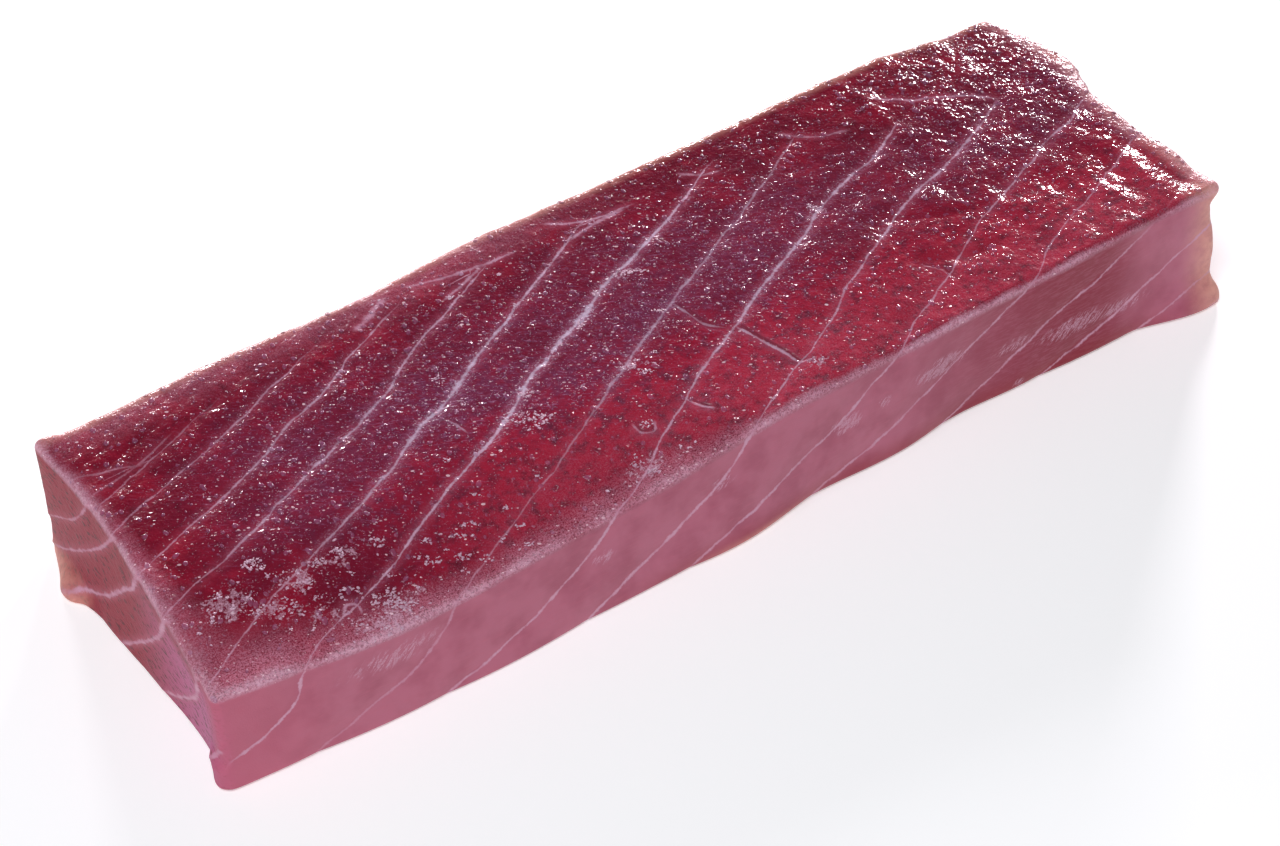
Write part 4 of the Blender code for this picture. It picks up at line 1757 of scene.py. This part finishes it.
    def frost_share(self) -> Signal:
        """Islands of thin frost on the top, and chalky strokes on the front side.

        Returns:
            The frost's cover.
        """
        graph, frost = self.graph, self.frost
        mixed = self.mottle * 0.55 + self.speck * 0.45 + frost * 0.26
        island = graph.smooth(mixed, 0.66, 0.74) * self.on_top
        upward = graph.stretched(graph.turned(self.place, 0.8, "Y_AXIS"), (0.3, 1.0, 1.3))
        strokes = graph.noise(upward, 0.8, 4.0, 0.7) + frost * 0.2
        chalk = graph.smooth(strokes, 0.54, 0.66) * self.side
        held = graph.smooth(frost, 0.06, 0.4) * (0.3 + 0.7 * graph.smooth(self.grain, 0.35, 0.6))
        return graph.highest(island, chalk) * held

    def frost_and_glint_share(self, beside: Signal) -> Signal:
        """Scattered small white specks: frost grains and painted glints on the wet flesh.

        Args:
            beside: How near the point is to a tissue sheet.

        Returns:
            The specks' cover.
        """
        graph, finish = self.graph, self.finish
        patchwork = graph.smooth(self.mottle * 0.6 + self.broad * 0.4, 0.4, 0.58) * 1.3 + 0.25
        level = graph.stretched(self.across, (0.6, 1.0, 1.0))
        density = (self.frost_and_glint_specks + 0.35 * beside) * patchwork
        band_specks = graph.dots(self.place, finish.band_speck_cell, self.band * self.on_top * 0.5)
        return graph.highest(
            graph.dots(level, finish.large_speck_cell, density),
            graph.dots(level, finish.small_speck_cell, density),
            band_specks * 0.8,
        )

    def relief(self, slit: Signal) -> Signal:
        """The fine relief that the light sees.

        Args:
            slit: The cover of the small tears' slits.

        Returns:
            The height in millimetres.
        """
        graph, finish, wet, grain = self.graph, self.finish, self.wet, self.grain
        across = graph.stretched(self.place, (1.0, 0.85, 1.0))
        ripples = graph.noise(across, finish.ripple_size, 2.0, 0.5)
        ripple_height = finish.ripple_height + finish.wet_ripple_height * wet
        ripple_height = ripple_height + finish.ridge_ripple_height * self.ridge
        fine = graph.noise(self.place, finish.fine_size, 1.0, 0.5)
        fine_height = finish.fine_height + finish.wet_fine_height * wet
        grain_height = finish.grain_height + finish.pale_grain_height * self.pale
        height = self.water + ripples * ripple_height * self.on_top
        height = height + fine * fine_height * self.on_top
        height = height + grain * grain_height - slit * finish.slit_depth
        height = height + self.fibre * self.side * finish.fibre_height
        height = height + self.rim * grain * finish.rim_grain_height
        return height + self.dashes * self.at_left * finish.dash_height

    def roughness(self, island: Signal) -> Signal:
        """Smooth and wet on top, duller on the sides, in the pale bands and under the frost.

        Args:
            island: The cover of the thin frost.

        Returns:
            The roughness.
        """
        finish = self.finish
        wet_top = finish.wet_roughness + finish.speck_roughness * self.speck
        sides = finish.side_roughness * self.side + finish.end_roughness * self.at_left
        bands = finish.pale_roughness * self.pale + finish.frost_roughness * island
        return wet_top + sides + bands

    def material(self) -> bpy.types.Material:
        """Joins the colours, the roughness and the relief.

        Returns:
            The finished material.
        """
        graph, finish = self.graph, self.finish
        lines, veil, beside, slit = self.tissue_lines()
        flesh = graph.blend(self.side, self.top_colour(), self.side_colour())
        island = self.frost_share()
        broken = graph.smooth(self.speck * 0.6 + self.grain * 0.4, 0.4, 0.6)
        colour = graph.laid(
            self.banded(flesh, veil),
            (island * 0.75, finish.frost),
            (self.rim * (0.45 + 0.55 * broken) * 0.8, finish.rim),
            # Painted glints: small white specks laid into the colour
            (self.frost_and_glint_share(beside) * 0.9, finish.frost_and_glint_specks),
            # Painted shade: the tears' slits darkened
            (slit * 0.5, finish.dark_red),
            (lines, graph.blend(self.purple * 1.4, finish.pink_line, finish.line)),
            # Painted sheen: the beads' flesh colour lightened toward lilac
            (finish.painted_sheen, finish.lilac),
        )
        return graph.finish({
            "Base Color": colour,
            "Roughness": self.roughness(island),
            "Normal": graph.bump(self.relief(slit), finish.bump_strength),
            "IOR": finish.refraction,
            "Subsurface Weight": finish.soft_share,
            "Subsurface Radius": finish.soft_reach,
            "Subsurface Scale": finish.soft_metres,
        })


@dataclass(frozen=True)
class FrostFinish:
    """Thawing frost: pale pink-lilac crumbs, half clear, with a fine sparkle."""

    pale: Colour = srgb(242, 206, 224)
    pink: Colour = srgb(208, 146, 174)
    grain_size: float = 0.35
    grain_height: float = 0.1
    refraction: float = 1.31
    soft_share: float = 0.2
    soft_reach: tuple[float, float, float] = (1.0, 0.6, 0.6)
    soft_metres: float = 0.001

    def build(self) -> bpy.types.Material:
        """Makes the material.

        Returns:
            The material.
        """
        graph = ShaderGraph("thawing_frost")
        grain = graph.noise(graph.place(), self.grain_size, 3.0, 0.65)
        colour = graph.blend(graph.smooth(grain, 0.35, 0.7), self.pink, self.pale)
        return graph.finish({
            "Base Color": colour,
            "Roughness": 0.12 + 0.2 * grain,
            "Normal": graph.bump(grain * self.grain_height),
            "IOR": self.refraction,
            "Subsurface Weight": self.soft_share,
            "Subsurface Radius": self.soft_reach,
            "Subsurface Scale": self.soft_metres,
        })


@dataclass(frozen=True)
class CapShape:
    """A small closed cap that lies on the skin: rings, a crown point and an under point."""

    rings: tuple[tuple[float, float], ...]
    under: float
    sides: int = 9

    def corners(self) -> Array:
        """The cap's corners as shares of its reach along, across and up.

        Returns:
            One corner per row: the rings from the lowest up, the crown and the under point.
        """
        angles = np.linspace(0, 2 * math.pi, self.sides, endpoint=False)
        rings = [(r * math.cos(a), r * math.sin(a), h) for r, h in self.rings for a in angles]
        return np.array([*rings, (0.0, 0.0, 1.0), (0.0, 0.0, self.under)])

    def faces(self, count: int) -> list[tuple[int, ...]]:
        """Faces of many such caps.

        Args:
            count: How many caps.

        Returns:
            The faces as point numbers.
        """
        single: list[tuple[int, ...]] = []
        last = (len(self.rings) - 1) * self.sides
        size = last + self.sides + 2
        for side in range(self.sides):
            after = (side + 1) % self.sides
            for low in range(0, last, self.sides):
                high = low + self.sides
                single.append((low + side, low + after, high + after, high + side))
            single.append((last + side, last + after, size - 2))
            single.append((after, side, size - 1))
        return [tuple(index + cap * size for index in face)
                for cap in range(count) for face in single]

    def laid(self, centres: Array, up: Array, turn: Array, reach: Array) -> Array:
        """The corners of many caps, each turned and laid on the skin.

        Args:
            centres: Where each cap lies.
            up: The outward direction at each cap.
            turn: Each cap's turn about the upright, in radians.
            reach: For each cap and corner, the reach along, across and up in millimetres.

        Returns:
            The points in millimetres, one per row.
        """
        along = np.stack([np.cos(turn), np.sin(turn), np.zeros(len(turn))], axis=1)
        along -= (along * up).sum(axis=1, keepdims=True) * up
        along /= np.linalg.norm(along, axis=1, keepdims=True)
        axes = (along, np.cross(up, along), up)
        moved = [reach[:, :, [k]] * axis[:, None, :] for k, axis in enumerate(axes)]
        return (centres[:, None, :] + moved[0] + moved[1] + moved[2]).reshape(-1, 3)


@dataclass
class WaterBeads:
    """Small flat beads of thaw water on the top, which take the colour of the flesh below; their
    finish lightens it toward lilac as painted sheen.
    """

    skin: FleshSkin
    count: int = 3000
    smallest: float = 0.16
    largest: float = 0.7
    flatness: float = 0.26
    longest: float = 0.7
    wander: float = 0.33
    turn_spread: float = 0.5
    wet_favour: float = 1.6
    small_favour: float = 2.5
    seed: int = 5
    cap: CapShape = CapShape(((1.0, -0.35), (0.94, 0.25), (0.62, 0.78)), -0.35)

    def build(self) -> bpy.types.Object:
        """Makes all the beads as one piece.

        Returns:
            The beads, placed in the solid's frame.
        """
        random = np.random.default_rng(self.seed)
        wet = self.skin.fields.marks[:, 2] ** self.wet_favour * self.skin.top_share
        chosen = random.choice(len(wet), self.count, replace=False, p=wet / wet.sum())
        share = random.random(self.count) ** self.small_favour
        size = self.smallest + (self.largest - self.smallest) * share
        stretch = 1.0 + self.longest * random.random(self.count)
        turn = random.normal(math.pi / 2, self.turn_spread, self.count)
        shape = np.stack([size * stretch, size, size * self.flatness], axis=1)
        corners = self.cap.corners()
        points = self.cap.laid(
            self.scattered(chosen, random), self.skin.normals[chosen], turn,
            shape[:, None, :] * corners,
        )
        fields = self.skin.fields.picked(np.repeat(chosen, len(corners)))
        faces = self.cap.faces(self.count)
        return placed_mesh("water_beads", points, faces, self.skin.middle, fields)

    def scattered(self, chosen: Array, random: np.random.Generator) -> Array:
        """Places near the chosen points of the skin, moved a little along it at random.

        Args:
            chosen: The numbers of the skin's points.
            random: Where the random shifts come from.

        Returns:
            The places in millimetres, one per row.
        """
        shift = random.normal(0.0, self.wander, (len(chosen), 3))
        up = self.skin.normals[chosen]
        shift -= (shift * up).sum(axis=1, keepdims=True) * up
        return self.skin.places[chosen] + shift


@dataclass
class FrostCrumbs:
    """Thawing frost on the top: small crowded islands of crumbs, and single crumbs around them."""

    skin: FleshSkin
    loose_islands: int = 34
    singles: int = 260
    crumb_size: tuple[float, float] = (0.09, 0.36)
    length_share: float = 1.35
    width_share: float = 0.85
    flatness: float = 0.3
    unevenness: float = 0.45
    lean: float = -0.55
    lean_spread: float = 0.8
    frost_favour: float = 1.3
    small_favour: float = 1.5
    gathering: float = 0.6
    ring_spread: float = 0.12
    wander: float = 0.4
    seed: int = 9
    cap: CapShape = CapShape(((1.0, -0.5), (0.95, 0.3), (0.55, 0.85)), -0.5)

    def centres(self, random: np.random.Generator) -> Array:
        """Where the crumbs lie: crowded in islands, and scattered singly.

        Args:
            random: Where every random draw comes from.

        Returns:
            Points (x, y) in millimetres, one per row.
        """
        likely = self.skin.fields.marks[:, 1] ** self.frost_favour * self.skin.top_share
        share = likely / likely.sum()
        middles = random.choice(len(share), self.loose_islands, replace=False, p=share)
        reaches = 0.4 + 1.1 * random.random(self.loose_islands) ** 2
        loose = [
            (x, y, 1.4 * reach, 0.7 * reach, int(4 + 7 * reach**1.6))
            for (x, y), reach in zip(self.skin.places[middles, :2], reaches)
        ]
        spots = []
        for middle_x, middle_y, reach_along, reach_across, count in (*ISLANDS, *loose, FROST_RING):
            ring = (middle_x, middle_y) == FROST_RING[:2]
            if ring:
                distance = random.normal(1, self.ring_spread, count)
            else:
                distance = random.random(count) ** self.gathering
            turn = random.random(count) * 2 * math.pi
            along = reach_along * distance * np.cos(turn)
            across = reach_across * distance * np.sin(turn)
            x = middle_x + along * math.cos(self.lean) - across * math.sin(self.lean)
            y = middle_y + along * math.sin(self.lean) + across * math.cos(self.lean)
            spots.append(np.stack([x, y], axis=1))
        lone = random.choice(len(share), self.singles, replace=False, p=share)
        shift = random.normal(0, self.wander, (self.singles, 2))
        spots.append(self.skin.places[lone, :2] + shift)
        return np.vstack(spots)

    def build(self) -> bpy.types.Object:
        """Makes all the crumbs as one piece.

        Returns:
            The crumbs, placed in the solid's frame.
        """
        random = np.random.default_rng(self.seed)
        spots = self.centres(random)
        top = np.flatnonzero(self.skin.top_share > 0.2)
        flat = self.skin.places[top, :2]
        nearest = np.array([top[np.argmin(((flat - spot) ** 2).sum(axis=1))] for spot in spots])
        count = len(spots)
        low, high = self.crumb_size
        size = low + (high - low) * random.random(count) ** self.small_favour
        corners = self.cap.corners()
        uneven = 1.0 + self.unevenness * (random.random((count, len(corners))) * 2 - 1)
        spin = random.normal(self.lean, self.lean_spread, count)
        spread = (size[:, None] * uneven)[:, :, None]
        shares = np.array((self.length_share, self.width_share, self.flatness))
        centres = np.column_stack([spots, self.skin.places[nearest, 2]])
        points = self.cap.laid(
            centres, self.skin.normals[nearest], spin, spread * shares * corners
        )
        return placed_mesh("frost_crumbs", points, self.cap.faces(count), self.skin.middle)


@dataclass(frozen=True)
class SoftBox:
    """A square studio light that faces a target."""

    name: str
    place: tuple[float, float, float]
    target: tuple[float, float, float]
    size: float
    watts: float
    tint: tuple[float, float, float] = (1.0, 1.0, 1.0)

    def build(self) -> None:
        """Adds the light to the scene."""
        data = bpy.data.lights.new(self.name, "AREA")
        data.shape = "SQUARE"
        data.size = self.size
        data.energy = self.watts
        data.color = self.tint
        light = bpy.data.objects.new(self.name, data)
        light.location = self.place
        aim = Vector(self.target) - Vector(self.place)
        light.rotation_euler = aim.to_track_quat("-Z", "Y").to_euler()
        bpy.context.scene.collection.objects.link(light)


@dataclass(frozen=True)
class Studio:
    """Pale floor, soft lights and the camera."""

    azimuth: float = -31.273
    elevation: float = 42.953
    roll: float = -3.265
    camera_place: tuple[float, float, float] = (-0.23353, -0.37739, 0.41057)
    lens: float = 71.08
    floor_half: float = 6.0
    floor_colour: Colour = (0.86, 0.86, 0.86, 1.0)
    floor_glow: float = 0.34
    floor_roughness: float = 0.7
    sensor_width: float = 36.0
    sky: float = 0.16
    sky_colour: Colour = (0.9, 0.93, 1.0, 1.0)
    lights: tuple[SoftBox, ...] = (
        SoftBox("overhead_box", (-0.45, -0.25, 1.1), (0, 0, 0), 0.45, 7.2, (0.95, 0.96, 1.0)),
        SoftBox("glint_box", (1.0, 0.775, 0.28), (0.1, 0.02, 0.03), 0.18, 12.4, (1.0, 0.96, 1.0)),
        SoftBox(
            "left_glint_box", (0.12, 0.9, 0.2), (-0.08, 0.0, 0.03), 0.09, 3.0, (1.0, 0.95, 1.0)
        ),
        SoftBox(
            "middle_glint_box", (0.5, 0.87, 0.25), (0.0, 0.0, 0.03), 0.07, 2.0, (1.0, 0.95, 1.0)
        ),
        SoftBox("front_fill", (-0.75, -0.95, 0.55), (0, 0, 0.02), 0.8, 1.9),
    )

    def build_camera(self, middle: Array) -> None:
        """Sets the camera.

        Args:
            middle: The form's place that is the solid's origin, in millimetres.
        """
        turn = math.radians(self.azimuth)
        tilt = math.radians(self.elevation)
        roll = math.radians(self.roll)
        back = Vector((
            math.sin(turn) * math.cos(tilt), -math.cos(turn) * math.cos(tilt), math.sin(tilt)
        ))
        right = Vector((math.cos(turn), math.sin(turn), 0.0))
        up = back.cross(right)
        rolled_right = right * math.cos(roll) + up * math.sin(roll)
        rolled_up = up * math.cos(roll) - right * math.sin(roll)
        matrix = Matrix((rolled_right, rolled_up, back)).transposed().to_4x4()
        matrix.translation = Vector(self.camera_place) - Vector(middle) * MM
        data = bpy.data.cameras.new("camera")
        data.sensor_fit = "HORIZONTAL"
        data.sensor_width = self.sensor_width
        data.lens = self.lens
        camera = bpy.data.objects.new("camera", data)
        camera.matrix_world = matrix
        bpy.context.scene.collection.objects.link(camera)
        bpy.context.scene.camera = camera

    def build_floor(self) -> None:
        """Adds the plain pale floor."""
        half = self.floor_half
        mesh = bpy.data.meshes.new("floor")
        mesh.from_pydata([(-half, -half, 0), (half, -half, 0), (half, half, 0), (-half, half, 0)],
                         [], [(0, 1, 2, 3)])
        floor = bpy.data.objects.new("floor", mesh)
        bpy.context.scene.collection.objects.link(floor)
        graph = ShaderGraph("plain_floor")
        mesh.materials.append(graph.finish({
            "Base Color": self.floor_colour,
            "Roughness": self.floor_roughness,
            "Emission Color": (1.0, 1.0, 1.0, 1.0),
            "Emission Strength": self.floor_glow,
        }))

    def build_sky(self) -> None:
        """Sets an even dim surround."""
        world = bpy.data.worlds.new("surround")
        world.use_nodes = True
        shade = world.node_tree.nodes["Background"]
        shade.inputs["Color"].default_value = self.sky_colour
        shade.inputs["Strength"].default_value = self.sky
        bpy.context.scene.world = world

    def build(self, middle: Array) -> None:
        """Makes the whole studio.

        Args:
            middle: The form's place that is the solid's origin, in millimetres.
        """
        bpy.context.scene.view_settings.view_transform = "Standard"
        self.build_camera(middle)
        self.build_floor()
        self.build_sky()
        for light in self.lights:
            light.build()


def hand_over(piece: bpy.types.Object, material: bpy.types.Material, stands_for: bool) -> None:
    """Dresses a piece and ties it to the frame.

    Args:
        piece: The piece.
        material: Its finish.
        stands_for: Whether it stands for the solid.
    """
    piece.data.materials.append(material)
    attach(piece, BODY)
    if stands_for:
        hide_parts(NODE)


def main() -> None:
    """Builds the loin and its studio, piece by piece."""
    logging.basicConfig(level=logging.INFO)
    skin = FleshSkin(LoinForm())
    hand_over(skin.build(), FleshFinish().build(), True)
    beads = WaterBeads(skin)
    # The beads' colour is lightened toward lilac as painted sheen
    bead_finish = FleshFinish(name="water_over_flesh", painted_sheen=0.35, bump_strength=0.2)
    hand_over(beads.build(), bead_finish.build(), False)
    hand_over(FrostCrumbs(skin).build(), FrostFinish().build(), False)
    Studio().build(skin.middle)
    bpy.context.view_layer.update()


if __name__ == "__main__":
    main()
